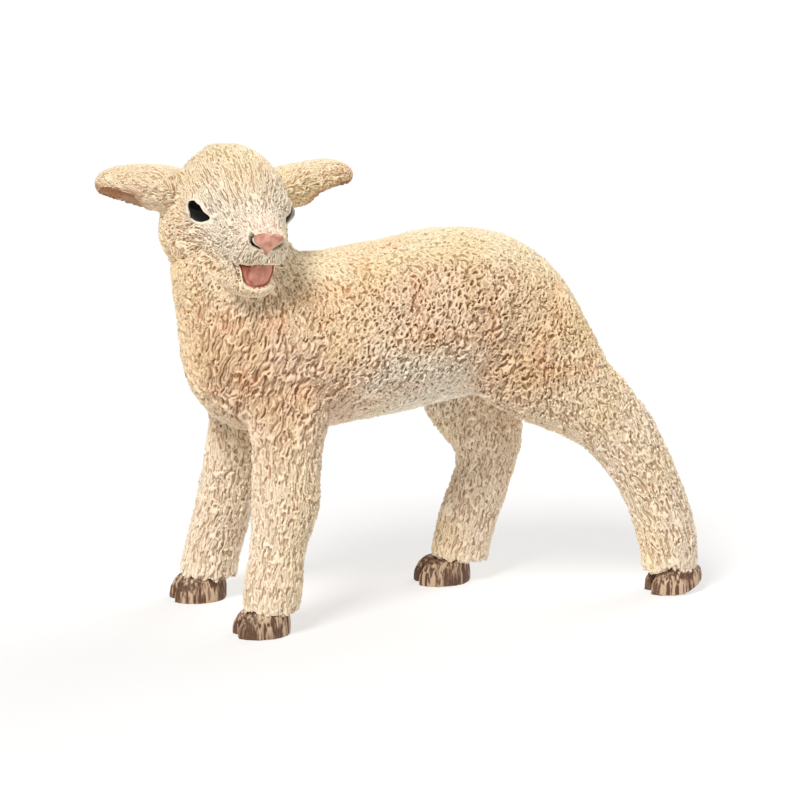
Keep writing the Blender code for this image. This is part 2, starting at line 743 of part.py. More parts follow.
def build_torso(body, legs, placing):
    torso = copy_of(body, "torso")
    for leg in legs:
        leg.cut_socket(torso)
    boolean(torso, neck_peg("neck_socket", placing, PEG_CLEARANCE), "DIFFERENCE")
    finish(torso, "torso", TORSO_PAINT)


def neck_peg(name, placing, clearance):
    reach = HEAD_HEIGHT / 2 + NECK_PEG_LENGTH + clearance
    middle = placing.to_translation()
    return peg(name, middle, Vector((0, 0, -1)), 0.0, reach, NECK_PEG_RADIUS + clearance)


def build_head(head, placing):
    boolean(head, neck_peg("neck_peg", placing, 0.0), "UNION")
    boolean(head, placed(mouth("mouth", 0.0), placing), "DIFFERENCE")
    boolean(head, placed(tongue_peg("tongue_socket", PEG_CLEARANCE), placing), "DIFFERENCE")
    boolean(head, placed(nose_form("nose_seat", PEG_CLEARANCE), placing), "DIFFERENCE")
    build_tongue(placing)
    build_nose(placing)
    for side, label in ((-1, "right"), (1, "left")):
        boolean(head, placed(eye("eye_seat", side, PEG_CLEARANCE), placing), "DIFFERENCE")
        finish(placed(eye("eye", side, 0.0), placing), "eye_" + label, EYE_PAINT)
        ear = placed(ear_form(side), placing)
        boolean(head, swollen(ear, "ear_seat", SEAM_GAP), "DIFFERENCE")
        boolean(ear, placed(ear_hollow(side), placing), "DIFFERENCE")
        finish(ear, "ear_" + label, EAR_PAINT)
    finish(head, "head", HEAD_PAINT)


def build_tongue(placing):
    tongue = placed(tongue_form(), placing)
    boolean(tongue, placed(mouth("mouth_inside", SEAM_GAP), placing), "INTERSECT")
    boolean(tongue, placed(tongue_peg("tongue_peg", 0.0), placing), "UNION")
    finish(tongue, "tongue", TONGUE_PAINT)


def build_nose(placing):
    nose = placed(nose_form("nose_pad", 0.0), placing)
    for side in (-1, 1):
        boolean(nose, placed(nostril(side), placing), "DIFFERENCE")
    finish(nose, "nose_pad", NOSE_PAINT)


def rest_on_origin():
    """Moves the whole part so that the middle of its footprint box is the origin."""
    bpy.context.view_layer.update()
    graph = bpy.context.evaluated_depsgraph_get()
    corners = [v.co.copy() for obj in PARTS.objects for v in obj.evaluated_get(graph).data.vertices]
    low = [min(c[i] for c in corners) for i in range(3)]
    high = [max(c[i] for c in corners) for i in range(3)]
    shift = Matrix.Translation((-(low[0] + high[0]) / 2, -(low[1] + high[1]) / 2, -low[2]))
    for obj in [*PARTS.objects, *CUTTERS.objects]:
        placed(obj, shift)


def collection(name):
    made = bpy.data.collections.new(name)
    bpy.context.scene.collection.children.link(made)
    return made


def main():
    fore_left = (FORELEG_LEFT_SHARES, FORELEG_LEFT_PLACE_SHARES, -1, FORE_STANCE)
    fore_right = (FORELEG_RIGHT_SHARES, FORELEG_RIGHT_PLACE_SHARES, 1, FORE_STANCE)
    hind_left = (HINDLEG_LEFT_SHARES, HINDLEG_LEFT_PLACE_SHARES, -1, HIND_STANCE)
    hind_right = (HINDLEG_RIGHT_SHARES, HINDLEG_RIGHT_PLACE_SHARES, 1, HIND_STANCE)
    legs = [
        Leg("foreleg_left", "hoof_fore_left", *fore_left),
        Leg("foreleg_right", "hoof_fore_right", *fore_right),
        Leg("hindleg_left", "hoof_hind_left", *hind_left, HEEL_LIFT),
        Leg("hindleg_right", "hoof_hind_right", *hind_right),
    ]
    placing = head_placing()
    head = placed(head_form(), placing)
    tail = tail_form()
    body = body_form(legs, head, tail)
    build_torso(body, legs, placing)
    finish(tail, "tail", TAIL_PAINT)
    for leg in legs:
        finish(leg.moulding(body), leg.name, LEG_PAINT)
        finish(leg.hoof(), leg.hoof_name, HOOF_PAINT)
    build_head(head, placing)
    bpy.data.objects.remove(body)
    rest_on_origin()


for old in list(bpy.data.objects):
    bpy.data.objects.remove(old)
PARTS = collection("lamb_figure")
CUTTERS = collection("cutters")
main()
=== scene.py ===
"""Looks of the toy lamb: carved wool, painted face, eyes, ears and hooves, on a pale floor.

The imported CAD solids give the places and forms. The visible pieces are cut from finely meshed skins over
them, so that the moulding shows no seams, and the skins are sculpted and painted before they are cut.
Lengths are in millimetres until a piece is finished, when they become metres.
"""

import math

import bmesh
import bpy
import numpy as np
from mathutils import Matrix, Vector
from mathutils.bvhtree import BVHTree


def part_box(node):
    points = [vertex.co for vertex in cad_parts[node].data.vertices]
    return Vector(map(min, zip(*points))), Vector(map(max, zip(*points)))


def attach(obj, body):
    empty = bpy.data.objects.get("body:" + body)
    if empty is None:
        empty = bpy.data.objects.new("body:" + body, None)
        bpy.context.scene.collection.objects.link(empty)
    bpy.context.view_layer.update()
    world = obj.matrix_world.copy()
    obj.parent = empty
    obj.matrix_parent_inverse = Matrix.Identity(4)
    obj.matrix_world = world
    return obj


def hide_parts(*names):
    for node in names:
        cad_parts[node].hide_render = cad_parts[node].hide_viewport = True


MM = 0.001
SEED = 41

# Meshing: lengths in mm, shares and counts
BODY_GRAIN = 0.10
HEAD_GRAIN = 0.072
HOOF_GRAIN = 0.08
BODY_ROUNDING = 0.55
HEAD_ROUNDING = 0.5
HOOF_ROUNDING = 0.12
WELD = 0.0001
SEAM_FILL = 0.2
CAP_DEPTH = 0.5
HEAD_OVERLAP = 0.4
OVERLAP_SINK = 0.3
HEAD_MARGIN = 0.3
COLLAR_HEIGHT = 30.0
COLLAR_TRIM = 1.5
FAR = 9.0
RELAX_STEPS = (0.8, -0.82)
BALL_SEGMENTS = 64

# CAD nodes
EAR_NODES = ("ear_left", "ear_right")
LEG_NODES = ("foreleg_left", "foreleg_right", "hindleg_left", "hindleg_right")
BODY_NODES = ("torso", "tail") + LEG_NODES
HEAD_NODES = ("head",) + EAR_NODES
FACE_NODES = ("eye_left", "eye_right", "nose_pad", "tongue")
HOOF_NODES = ("hoof_fore_left", "hoof_fore_right", "hoof_hind_left", "hoof_hind_right")

# Places from the middle of the left fore hoof, with heights from the floor, in mm, and the head's turns
HEAD_FROM_HOOF = (-0.987, 6.788, 40.5)
HEAD_TURN = 274
HEAD_PITCH = 13
HEAD_TILT = -7
TARGET_FROM_HOOF = (16.14, 6.8, 20.2)

# Camera
VIEW_AZIMUTH = -18
VIEW_ELEVATION = 15
VIEW_DISTANCE = 700
VIEW_LENS = 324.5
VIEW_SENSOR = 36
VIEW_RANGE = (10, 10000)


# Small numeric tools


def unit(vectors):
    return vectors / np.maximum(np.linalg.norm(vectors, axis=-1, keepdims=True), 1e-9)


def smoothstep(low, high, value):
    t = np.clip((value - low) / (high - low), 0, 1)
    return t * t * (3 - 2 * t)


def bell(value, width):
    return np.exp(-((value / width) ** 2))


LATTICE = 48
LATTICE_SHAPE = (4, LATTICE, LATTICE, LATTICE)
LATTICE_VALUES = np.random.default_rng(SEED).uniform(-1, 1, LATTICE_SHAPE).astype(np.float32)
CHANNEL_SHIFT = 31.7


def noise(points, wavelength, channel):
    """Smooth noise from -1 to 1 at points."""
    q = points / wavelength + CHANNEL_SHIFT * (channel + 1)
    cell = np.floor(q).astype(np.int64)
    t = q - cell
    t = t * t * (3 - 2 * t)
    table = LATTICE_VALUES[channel % len(LATTICE_VALUES)]
    total = np.zeros(len(points))
    for corner in range(8):
        step = np.array([corner & 1, corner >> 1 & 1, corner >> 2 & 1])
        weight = np.prod(np.where(step, t, 1 - t), axis=1)
        i = (cell + step) % LATTICE
        total += weight * table[i[:, 0], i[:, 1], i[:, 2]]
    return total


def vector_noise(points, wavelength):
    return np.stack([noise(points, wavelength, channel) for channel in range(3)], axis=1)


def path_distance(a, b, path):
    """How far the points (a, b) lie from a path, and how far along it they come nearest, from 0 to 1."""
    best, place = np.full(len(a), np.inf), np.zeros(len(a))
    for k, ((x0, y0), (x1, y1)) in enumerate(zip(path, path[1:])):
        dx, dy = x1 - x0, y1 - y0
        t = np.clip(((a - x0) * dx + (b - y0) * dy) / (dx * dx + dy * dy), 0, 1)
        far = np.hypot(a - x0 - t * dx, b - y0 - t * dy)
        closer = far < best
        best = np.where(closer, far, best)
        place = np.where(closer, (k + t) / (len(path) - 1), place)
    return best, place


def outline_depth(a, b, outline):
    """How deep the points (a, b) lie inside a closed outline, negative outside."""
    far, _ = path_distance(a, b, [*outline, outline[0]])
    inside = np.zeros(len(a), bool)
    for (x0, y0), (x1, y1) in zip(outline, [*outline[1:], outline[0]]):
        crosses = (y0 > b) != (y1 > b)
        inside ^= crosses & (a < x0 + (x1 - x0) * (b - y0) / (y1 - y0 if y1 != y0 else 1.0))
    return np.where(inside, far, -far)


# Meshes as arrays


def edges_of(quads):
    return np.concatenate([quads[:, [k, (k + 1) % 4]] for k in range(4)])


class Skin:
    """Points, faces of four corners, and unit normals at the points, in mm."""

    def __init__(self, points, quads):
        self.points = points
        self.quads = quads
        self.update()

    def update(self):
        a, b, c, d = (self.points[self.quads[:, k]] for k in range(4))
        flat = np.cross(c - a, d - b)
        total = np.zeros_like(self.points)
        for k in range(4):
            for axis in range(3):
                total[:, axis] += np.bincount(self.quads[:, k], flat[:, axis], len(self.points))
        self.normals = unit(total)

    def mean(self, values, rounds=1):
        """Each point's values averaged over the faces round it, round after round."""
        corners = self.quads.ravel()
        count = np.bincount(corners, minlength=len(self.points))
        values = np.array(values, float).reshape(len(self.points), -1)
        for _ in range(rounds):
            for column in values.T:
                faces = column[self.quads].mean(axis=1)
                column[:] = np.bincount(corners, np.repeat(faces, 4), len(count)) / count
        return values if values.shape[1] > 1 else values[:, 0]

    def relax(self, rounds):
        """Smooths without shrinking."""
        for step in RELAX_STEPS * rounds:
            self.points = self.points + step * (self.mean(self.points) - self.points)
        self.update()

    def push(self, distance, way=None):
        """Moves the points by their distances along their normals or another way."""
        way = self.normals if way is None else way
        self.points = self.points + way * np.reshape(distance, (-1, 1))
        self.update()

    def keep(self, chosen):
        """Keeps the chosen faces and the points they use. Gives where those points were."""
        quads = self.quads[chosen]
        used, where = np.unique(quads, return_inverse=True)
        self.quads = where.reshape(quads.shape)
        self.points = self.points[used]
        self.update()
        return used

    def divided(self):
        """The same skin with each face cut into four, smoothed a little."""
        count = len(self.points)
        pairs = np.stack([self.quads, np.roll(self.quads, -1, axis=1)], axis=2)
        keys = pairs.min(axis=2) * count + pairs.max(axis=2)
        edges, where = np.unique(keys.ravel(), return_inverse=True)
        where = where.reshape(-1, 4) + count
        middles = (self.points[edges // count] + self.points[edges % count]) / 2
        centres = self.points[self.quads].mean(axis=1)
        inner = np.arange(len(self.quads)) + count + len(edges)
        corners = self.quads
        quads = [np.stack([corners[:, k], where[:, k], inner, where[:, k - 1]], axis=1) for k in range(4)]
        finer = Skin(np.concatenate([self.points, middles, centres]), np.concatenate(quads))
        finer.relax(2)
        return finer

    def keep_largest_shell(self):
        edges = edges_of(self.quads)
        label = np.arange(len(self.points))
        while True:
            low = np.minimum(label[edges[:, 0]], label[edges[:, 1]])
            new = label.copy()
            np.minimum.at(new, edges[:, 0], low)
            np.minimum.at(new, edges[:, 1], low)
            new = new[new]
            if np.array_equal(new, label):
                break
            label = new
        names, sizes = np.unique(label, return_counts=True)
        best = names[np.argmax(sizes)]
        self.keep(label[self.quads[:, 0]] == best)


def arrays_of(bm, swell=0.0):
    """A mesh's points in mm, swollen along their normals, and its triangles. The mesh is freed."""
    bmesh.ops.triangulate(bm, faces=bm.faces)
    bm.normal_update()
    points = np.array([v.co for v in bm.verts]) / MM
    normals = np.array([v.normal for v in bm.verts])
    triangles = np.array([[v.index for v in f.verts] for f in bm.faces])
    bm.free()
    return points + normals * swell, triangles


def node_mesh(name):
    bm = bmesh.new()
    bm.from_mesh(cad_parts[name].data)
    bmesh.ops.remove_doubles(bm, verts=bm.verts, dist=WELD * MM)
    return bm


def solid(name, swell=0.0):
    return arrays_of(node_mesh(name), swell)


def collar(swell):
    """The torso above the withers only."""
    bm = node_mesh("torso")
    everything = [*bm.verts, *bm.edges, *bm.faces]
    floor = Vector((0, 0, COLLAR_HEIGHT * MM))
    bmesh.ops.bisect_plane(bm, geom=everything, plane_co=floor, plane_no=(0, 0, 1), clear_inner=True)
    bmesh.ops.holes_fill(bm, edges=bm.edges, sides=0)
    return arrays_of(bm, swell)


def ball(centre, radii, turn):
    """An ellipsoid with its middle at a place in the part, and its axes turned."""
    bm = bmesh.new()
    bmesh.ops.create_uvsphere(bm, u_segments=BALL_SEGMENTS, v_segments=BALL_SEGMENTS // 2, radius=MM)
    points, triangles = arrays_of(bm)
    return (points * np.array(radii)) @ turn.T + np.array(centre), triangles


def joined(solids):
    """Lists of the points and of the triangles of several solids together."""
    offsets = np.cumsum([0] + [len(points) for points, _ in solids])
    points = np.concatenate([points for points, _ in solids])
    faces = np.concatenate([triangles + offset for (_, triangles), offset in zip(solids, offsets)])
    return points.tolist(), faces.tolist()


def voxel_skin(solids, grain, rounding):
    """One smooth skin over several overlapping solids, made coarse, smoothed and then divided."""
    points, faces = joined(solids)
    mesh = bpy.data.meshes.new("raw")
    mesh.from_pydata(points, [], faces)
    obj = bpy.data.objects.new("raw", mesh)
    bpy.context.scene.collection.objects.link(obj)
    remesh = obj.modifiers.new("voxels", "REMESH")
    remesh.mode = "VOXEL"
    remesh.voxel_size = 2 * grain
    bpy.context.view_layer.update()
    evaluated = obj.evaluated_get(bpy.context.evaluated_depsgraph_get())
    result = evaluated.to_mesh()
    co = np.empty(len(result.vertices) * 3)
    result.vertices.foreach_get("co", co)
    corners = np.empty(len(result.loops), dtype=np.int32)
    result.loops.foreach_get("vertex_index", corners)
    evaluated.to_mesh_clear()
    bpy.data.objects.remove(obj)
    bpy.data.meshes.remove(mesh)
    skin = Skin(co.reshape(-1, 3), corners.reshape(-1, 4).astype(np.int64))
    skin.keep_largest_shell()
    skin.relax(round((rounding / grain) ** 2 / 4) + 1)
    return skin.divided()


def nearest(points, names):
    """The nearest of the CAD nodes to each point, as its place in names, and its distance."""
    solids = [solid(name) for name in names]
    owners = np.repeat(np.arange(len(solids)), [len(triangles) for _, triangles in solids])
    tree = BVHTree.FromPolygons(*joined(solids))
    found = [tree.find_nearest(p)[2:] for p in points.tolist()]
    return owners[[f[0] for f in found]], np.array([f[1] for f in found])


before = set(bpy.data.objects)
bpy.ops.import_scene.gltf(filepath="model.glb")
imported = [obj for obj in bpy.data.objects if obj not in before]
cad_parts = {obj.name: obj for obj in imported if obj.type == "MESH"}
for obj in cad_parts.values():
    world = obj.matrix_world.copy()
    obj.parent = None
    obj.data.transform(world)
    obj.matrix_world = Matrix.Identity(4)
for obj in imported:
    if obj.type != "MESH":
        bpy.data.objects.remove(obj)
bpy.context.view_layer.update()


def box_of(name):
    """A node's lowest and highest corners and its middle."""
    low, high = (np.array(corner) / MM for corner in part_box(name))
    return low, high, (low + high) / 2


def from_hoof(offset):
    """A place given from the middle of the left fore hoof, with its height from the floor."""
    middle = box_of("hoof_fore_left")[2]
    return np.array((middle[0] + offset[0], middle[1] + offset[1], offset[2]))


# The head's own frame, with +X to the nose and +Y to the lamb's left cheek

HEAD_ROTATION = np.array(
    Matrix.Rotation(math.radians(HEAD_TURN), 3, "Z")
    @ Matrix.Rotation(math.radians(HEAD_PITCH), 3, "Y")
    @ Matrix.Rotation(math.radians(HEAD_TILT), 3, "X")
)
HEAD_ORIGIN = from_hoof(HEAD_FROM_HOOF)


def from_head(place):
    return HEAD_ROTATION @ np.array(place) + HEAD_ORIGIN


def in_head(points):
    return (points - HEAD_ORIGIN) @ HEAD_ROTATION


# Paints, as sRGB

CREAM = (0.99, 0.91, 0.79)
PEACH = (0.96, 0.84, 0.72)
OATMEAL = (0.98, 0.87, 0.74)
STRAW = (0.92, 0.79, 0.64)
BUTTER = (0.98, 0.92, 0.79)
WHITE = (0.99, 0.94, 0.86)
PALE = (0.99, 0.92, 0.82)
HONEY = (0.99, 0.89, 0.73)
TAN = (0.63, 0.45, 0.27)
SAND = (0.68, 0.54, 0.34)
BROWN = (0.52, 0.36, 0.21)
PINK_TAN = (0.54, 0.39, 0.27)
LEG_TAN = (0.68, 0.54, 0.40)
GREY_TAN = (0.50, 0.40, 0.30)
OCHRE = (0.68, 0.54, 0.30)
STAIN = (1.0, 0.76, 0.50)
YELLOWING = (1.0, 0.98, 0.91)
BLACK = (0.05, 0.045, 0.04)
EYE_BLACK = (0.02, 0.018, 0.015)
EYE_GLINT = (0.07, 0.05, 0.035)
TONGUE_PINK = (0.84, 0.58, 0.50)
TONGUE_SHADE = (0.70, 0.40, 0.32)
MOUTH_RED = (0.50, 0.25, 0.19)
NOSE_PINK = (0.87, 0.64, 0.56)
NOSE_SHADE = (0.66, 0.42, 0.34)
EAR_PINK = (0.78, 0.58, 0.44)
EAR_SHADE = (0.48, 0.32, 0.21)
HOOF_BEIGE = (0.80, 0.68, 0.56)
HOOF_BROWN = (0.38, 0.26, 0.18)
FLOOR_WHITE = (1.0, 0.997, 0.993)
FLOOR_GREY = (0.62, 0.615, 0.61)


def linear(paint):
    c = np.array(paint, float)
    return np.where(c <= 0.04045, c / 12.92, ((c + 0.055) / 1.055) ** 2.4)


def rgba(paint):
    return (*linear(paint), 1.0)


def blend(paint, share, other):
    """Takes each point's paint towards another one, by the point's share."""
    paint += share[:, None] * (linear(other) - paint)


# Combing of the body's wool: place, how the wool lies, the width of its curls, how many times longer they
# are, their depth before DEEPENING, how far their borders stand up as ridges and not as strands, and the
# paints of the ridges and of the hollows. Every row off the middle stands for both sides.
BODY_COMBING = [
    ((-10, 0, 38), (1, 0, -0.2), 0.4, 1.4, 0.16, 0.4, BUTTER, SAND),
    ((-2, 0, 37), (1, 0, 0), 0.42, 1.4, 0.15, 0.5, BUTTER, SAND),
    ((8, 0, 37), (1, 0, 0), 0.42, 1.4, 0.15, 0.5, BUTTER, SAND),
    ((16, 0, 34), (0.7, 0, -0.7), 0.4, 1.4, 0.15, 0.4, BUTTER, SAND),
    ((20, 0, 28), (0.2, 0, -1), 0.4, 1.5, 0.18, 0.4, CREAM, TAN),
    ((-9, -7, 31), (-0.2, 0, -1), 0.44, 1.5, 0.22, 0.7, HONEY, TAN),
    ((-2, -8, 31), (-0.3, 0, -0.9), 0.46, 1.5, 0.26, 1, OATMEAL, BROWN),
    ((6, -8, 30), (-0.5, 0, -0.8), 0.5, 1.6, 0.28, 1, OATMEAL, BROWN),
    ((10, -6, 25), (-0.5, 0, -0.9), 0.46, 1.8, 0.26, 0.8, STRAW, BROWN),
    ((15, -6, 29), (-0.4, 0, -0.9), 0.44, 1.5, 0.21, 0.7, HONEY, TAN),
    ((14, -6, 23), (0.2, 0, -1), 0.42, 1.8, 0.2, 0.4, CREAM, PINK_TAN),
    ((-3, -7, 24), (-0.5, 0, -0.8), 0.42, 1.8, 0.22, 0.7, WHITE, GREY_TAN),
    ((3, -6, 21), (-0.5, 0, -0.8), 0.42, 1.8, 0.21, 0.5, WHITE, GREY_TAN),
    ((0, 0, 19.5), (1, 0, 0), 0.42, 1.4, 0.18, 0.4, WHITE, GREY_TAN),
    ((-15, -7, 29), (-0.3, 0, -0.95), 0.58, 3, 0.27, 0.1, PEACH, PINK_TAN),
    ((-19, -6, 26), (-0.5, 0, -0.85), 0.62, 3.2, 0.29, 0, PEACH, PINK_TAN),
    ((-16, -7, 22), (-0.4, 0, -0.9), 0.6, 3, 0.28, 0.1, PEACH, PINK_TAN),
    ((-10, -7, 24), (-0.7, 0, -0.7), 0.42, 2, 0.24, 0.6, PEACH, PINK_TAN),
    ((-23, 0, 26), (-0.2, 0, -1), 0.5, 2.8, 0.26, 0.1, HONEY, TAN),
    ((-18, 0, 18), (0.6, 0, -0.5), 0.44, 2, 0.22, 0.2, CREAM, PINK_TAN),
    ((-22, 0, 34), (-0.1, 0, -1), 0.38, 1.8, 0.19, 0.5, HONEY, TAN),
    ((-17, -6, 34), (-0.1, 0, -1), 0.36, 2, 0.19, 0.5, HONEY, TAN),
    ((-11, -4, 37), (0.6, 0, -0.8), 0.38, 1.5, 0.18, 0.4, BUTTER, SAND),
]
BODY_REACH = 4.2

# Combing of the head, in its own frame
HEAD_COMBING = [
    ((0, 0, 6), (-1, 0, 0.1), 0.34, 2.8, 0.14, 0.1, BUTTER, OCHRE),
    ((-4, 0, 4.5), (-0.8, 0, -0.5), 0.38, 2.2, 0.15, 0.2, BUTTER, OCHRE),
    ((-5, 0, -1), (-0.5, 0, -0.9), 0.43, 1.8, 0.18, 0.4, BUTTER, SAND),
    ((3.5, 0, 4.6), (-0.8, 0, 0.6), 0.3, 3.6, 0.11, 0, CREAM, OCHRE),
    ((3, -2.2, 4.9), (-0.75, -0.3, 0.6), 0.3, 3.4, 0.11, 0, CREAM, SAND),
    ((6, 0, 3.2), (-0.8, 0, 0.5), 0.29, 3.2, 0.1, 0, WHITE, GREY_TAN),
    ((8.3, 0, 2.6), (-0.9, 0, 0.3), 0.27, 2.2, 0.05, 0, WHITE, NOSE_PINK),
    ((3.5, -3.5, 3.2), (-0.8, -0.3, 0.6), 0.3, 3, 0.11, 0, WHITE, GREY_TAN),
    ((0, -5, 3), (-0.9, -0.2, 0.4), 0.34, 2.4, 0.13, 0.1, CREAM, SAND),
    ((5.5, -2.8, 0.6), (-0.9, -0.5, 0.3), 0.29, 2.6, 0.12, 0, WHITE, GREY_TAN),
    ((3.5, -4.6, -1.4), (-1, -0.4, -0.1), 0.32, 2.2, 0.18, 0.1, PALE, PINK_TAN),
    ((0, -5.6, -1), (-1, -0.2, -0.3), 0.38, 1.8, 0.17, 0.4, CREAM, TAN),
    ((7.6, -2.4, -1), (-0.4, -0.5, -0.8), 0.27, 2.8, 0.12, 0, WHITE, GREY_TAN),
    ((9, -1, -0.6), (0, -0.1, -1), 0.27, 3, 0.12, 0, WHITE, GREY_TAN),
    ((6, -2.2, -4.6), (-0.6, -0.4, -0.7), 0.3, 2.2, 0.17, 0.2, PALE, PINK_TAN),
    ((8.2, 0, -5.2), (-0.3, 0, -1), 0.29, 2.4, 0.09, 0, WHITE, GREY_TAN),
    ((1, 0, -6), (-0.9, 0, -0.4), 0.43, 2, 0.18, 0.4, HONEY, TAN),
]
HEAD_REACH = 2.0

# The curls of the legs at shares of the way down, and those of the tail and the ears
LEG_SHARES = (0, 0.5, 1)
LEG_CURLS = ((0.44, 1.8, 0.2, 0.3), (0.4, 2.6, 0.17, 0.1), (0.38, 3, 0.15, 0.1))
LEG_GUIDES = 4
LEG_REACH = 4.0
TAIL_SHARES = (0.2, 0.8)
TAIL_INSET = 2.0
TAIL_FLOW = (0.1, 0, -1)
TAIL_CURL = (0.44, 1.8, 0.22, 0.4)
TAIL_REACH = 3.0
EAR_SHARES = (0.35, 0.9)
EAR_SLICE = 1.5
EAR_CURL = (0.31, 2.4, 0.11, 0.1)
EAR_REACH = 2.2

CHUNK = 50000


class Comb:
    """The guides that say at any point how the wool lies, how big its curls are and how it is painted."""

    def __init__(self):
        self.rows = []

    def add(self, place, flow, width, stretch, depth, net, high, low, reach):
        numbers = (width, stretch, depth, net, *linear(high), *linear(low))
        self.rows.append([*place, *unit(np.array(flow, float)), *numbers, reach])

    def read(self, points, normals):
        """The lie, width, stretch, depth, net share, high paint and low paint at each point."""
        starts = range(0, len(points), CHUNK)
        parts = [self.read_some(points[k : k + CHUNK], normals[k : k + CHUNK]) for k in starts]
        return [np.concatenate(column) for column in zip(*parts)]

    def read_some(self, points, normals):
        rows = np.array(self.rows)
        place, flow, numbers, reach = rows[:, :3], rows[:, 3:6], rows[:, 6:-1], rows[:, -1]
        far = np.sum(points**2, axis=1)[:, None] - 2 * points @ place.T + np.sum(place**2, axis=1)
        far /= reach**2
        weight = np.exp(-(far - far.min(axis=1, keepdims=True)))
        weight /= weight.sum(axis=1, keepdims=True)
        lie = weight @ flow
        lie = unit(lie - normals * np.sum(lie * normals, axis=1, keepdims=True))
        mixed = weight @ numbers
        return lie, *mixed[:, :4].T, mixed[:, 4:7], mixed[:, 7:]


def both_sides(rows):
    """The rows of a combing, with those off the middle mirrored too."""
    for (x, y, z), (dx, dy, dz), *rest in rows:
        for side in (1, -1) if y else (1,):
            yield (x, side * y, z), (dx, side * dy, dz), *rest


def comb_trunk(comb):
    middle = box_of("torso")[2]
    for (x, y, z), *rest in both_sides(BODY_COMBING):
        comb.add((x, middle[1] + y, z), *rest, BODY_REACH)
    low, high, middle = box_of("tail")
    for share in TAIL_SHARES:
        place = (high[0] - TAIL_INSET, middle[1], high[2] + share * (low[2] - high[2]))
        comb.add(place, TAIL_FLOW, *TAIL_CURL, CREAM, TAN, TAIL_REACH)


def comb_leg(comb, name):
    points = solid(name)[0]
    heights = points[:, 2]
    cuts = np.linspace(heights.max(), heights.min(), LEG_GUIDES + 1)
    middles = [points[(heights <= a) & (heights >= b)].mean(axis=0) for a, b in zip(cuts, cuts[1:])]
    for k, middle in enumerate(middles):
        flow = middles[min(k + 1, LEG_GUIDES - 1)] - middles[max(k - 1, 0)]
        curl = [np.interp(k / (LEG_GUIDES - 1), LEG_SHARES, column) for column in zip(*LEG_CURLS)]
        comb.add(middle, flow, *curl, PALE if k else CREAM, LEG_TAN, LEG_REACH)


def comb_head(comb):
    for place, flow, *rest in both_sides(HEAD_COMBING):
        comb.add(from_head(place), HEAD_ROTATION @ np.array(flow), *rest, HEAD_REACH)
    for name in EAR_NODES:
        points = solid(name)[0]
        out = unit(points.mean(axis=0) - HEAD_ORIGIN)
        along = (points - HEAD_ORIGIN) @ out
        for share in EAR_SHARES:
            near = np.abs(along - along.min() - share * np.ptp(along)) < EAR_SLICE
            comb.add(points[near].mean(axis=0), out, *EAR_CURL, CREAM, SAND, EAR_REACH)


# The wool's curls and strokes, both grown from seeds on the skin and longest along the lie of the wool

SEED_TRIES_PER_MM2 = 13
SEED_SPACING = 0.8
SEED_CELL = 1.6
BLOCK = 1.2
CURL_REACH = 2.3
STROKE_REACH = 1.6
FACING_AWAY = 9.0
STROKE_SHARE = 0.36
STROKES_PER_WIDTH2 = 0.9
STROKE_FALL = 1.7


def sow(skin, grain, comb, rng):
    """Seeds of curls, about a curl's width apart across the wool and more along it."""
    tries = min(round(len(skin.points) * grain**2 * SEED_TRIES_PER_MM2), len(skin.points))
    chosen = rng.choice(len(skin.points), tries, replace=False)
    points, normals = skin.points[chosen], skin.normals[chosen]
    lie, width, stretch, *_ = comb.read(points, normals)
    shelves, kept = {}, []
    cells = np.floor(points / SEED_CELL).astype(int).tolist()
    steps = [(i, j, k) for i in (-1, 0, 1) for j in (-1, 0, 1) for k in (-1, 0, 1)]
    shrink = 1 - 1 / stretch**2
    limit = (SEED_SPACING * width) ** 2
    for index, (x, y, z) in enumerate(cells):
        near = []
        for i, j, k in steps:
            near += shelves.get((x + i, y + j, z + k), ())
        if near:
            apart = points[near] - points[index]
            along = apart @ lie[index]
            squared = (apart * apart).sum(axis=1) - along**2 * shrink[index]
            if np.any((normals[near] @ normals[index] > 0) & (squared < limit[index])):
                continue
        shelves.setdefault((x, y, z), []).append(index)
        kept.append(index)
    return points[kept], normals[kept], lie[kept], width[kept], stretch[kept], rng.uniform(0, 1, len(kept))


def scatter(skin, grain, comb, rng):
    """Seeds of strokes, at random, closer where the wool is finer."""
    lie, width, stretch, *_ = comb.read(skin.points, skin.normals)
    width = width * STROKE_SHARE
    kept = rng.uniform(0, 1, len(width)) < STROKES_PER_WIDTH2 * grain**2 / (width**2 * stretch)
    signs = rng.choice((-1.0, 1.0), np.count_nonzero(kept))
    return skin.points[kept], skin.normals[kept], lie[kept], width[kept], stretch[kept], signs


def compare(points, normals, seeds, reach_share):
    """Blocks of points with the seeds near them, and how far apart they are in widths, squared."""
    at, facing, lie, width, stretch, _ = seeds
    cells = np.floor(points / BLOCK).astype(int)
    order = np.lexsort(cells.T)
    cuts = np.flatnonzero(np.any(np.diff(cells[order], axis=0), axis=1)) + 1
    reach = reach_share * (width * stretch).max()
    for block in np.split(order, cuts):
        here = points[block]
        low, high = here.min(axis=0), here.max(axis=0)
        near = np.flatnonzero(np.all((at > low - reach) & (at < high + reach), axis=1))
        here_reach = reach_share * (width[near] * stretch[near]).max(initial=0)
        near = near[np.all((at[near] > low - here_reach) & (at[near] < high + here_reach), axis=1)]
        if len(near) < 2:
            continue
        middle = here.mean(axis=0)
        here, there = here - middle, at[near] - middle
        squared = (here**2).sum(axis=1)[:, None] - 2 * here @ there.T + (there**2).sum(axis=1)
        along = here @ lie[near].T - (there * lie[near]).sum(axis=1)
        far = (squared - along**2 * (1 - 1 / stretch[near] ** 2)) / width[near] ** 2
        far += FACING_AWAY * (normals[block] @ facing[near].T < 0)
        yield block, near, np.maximum(far, 0)


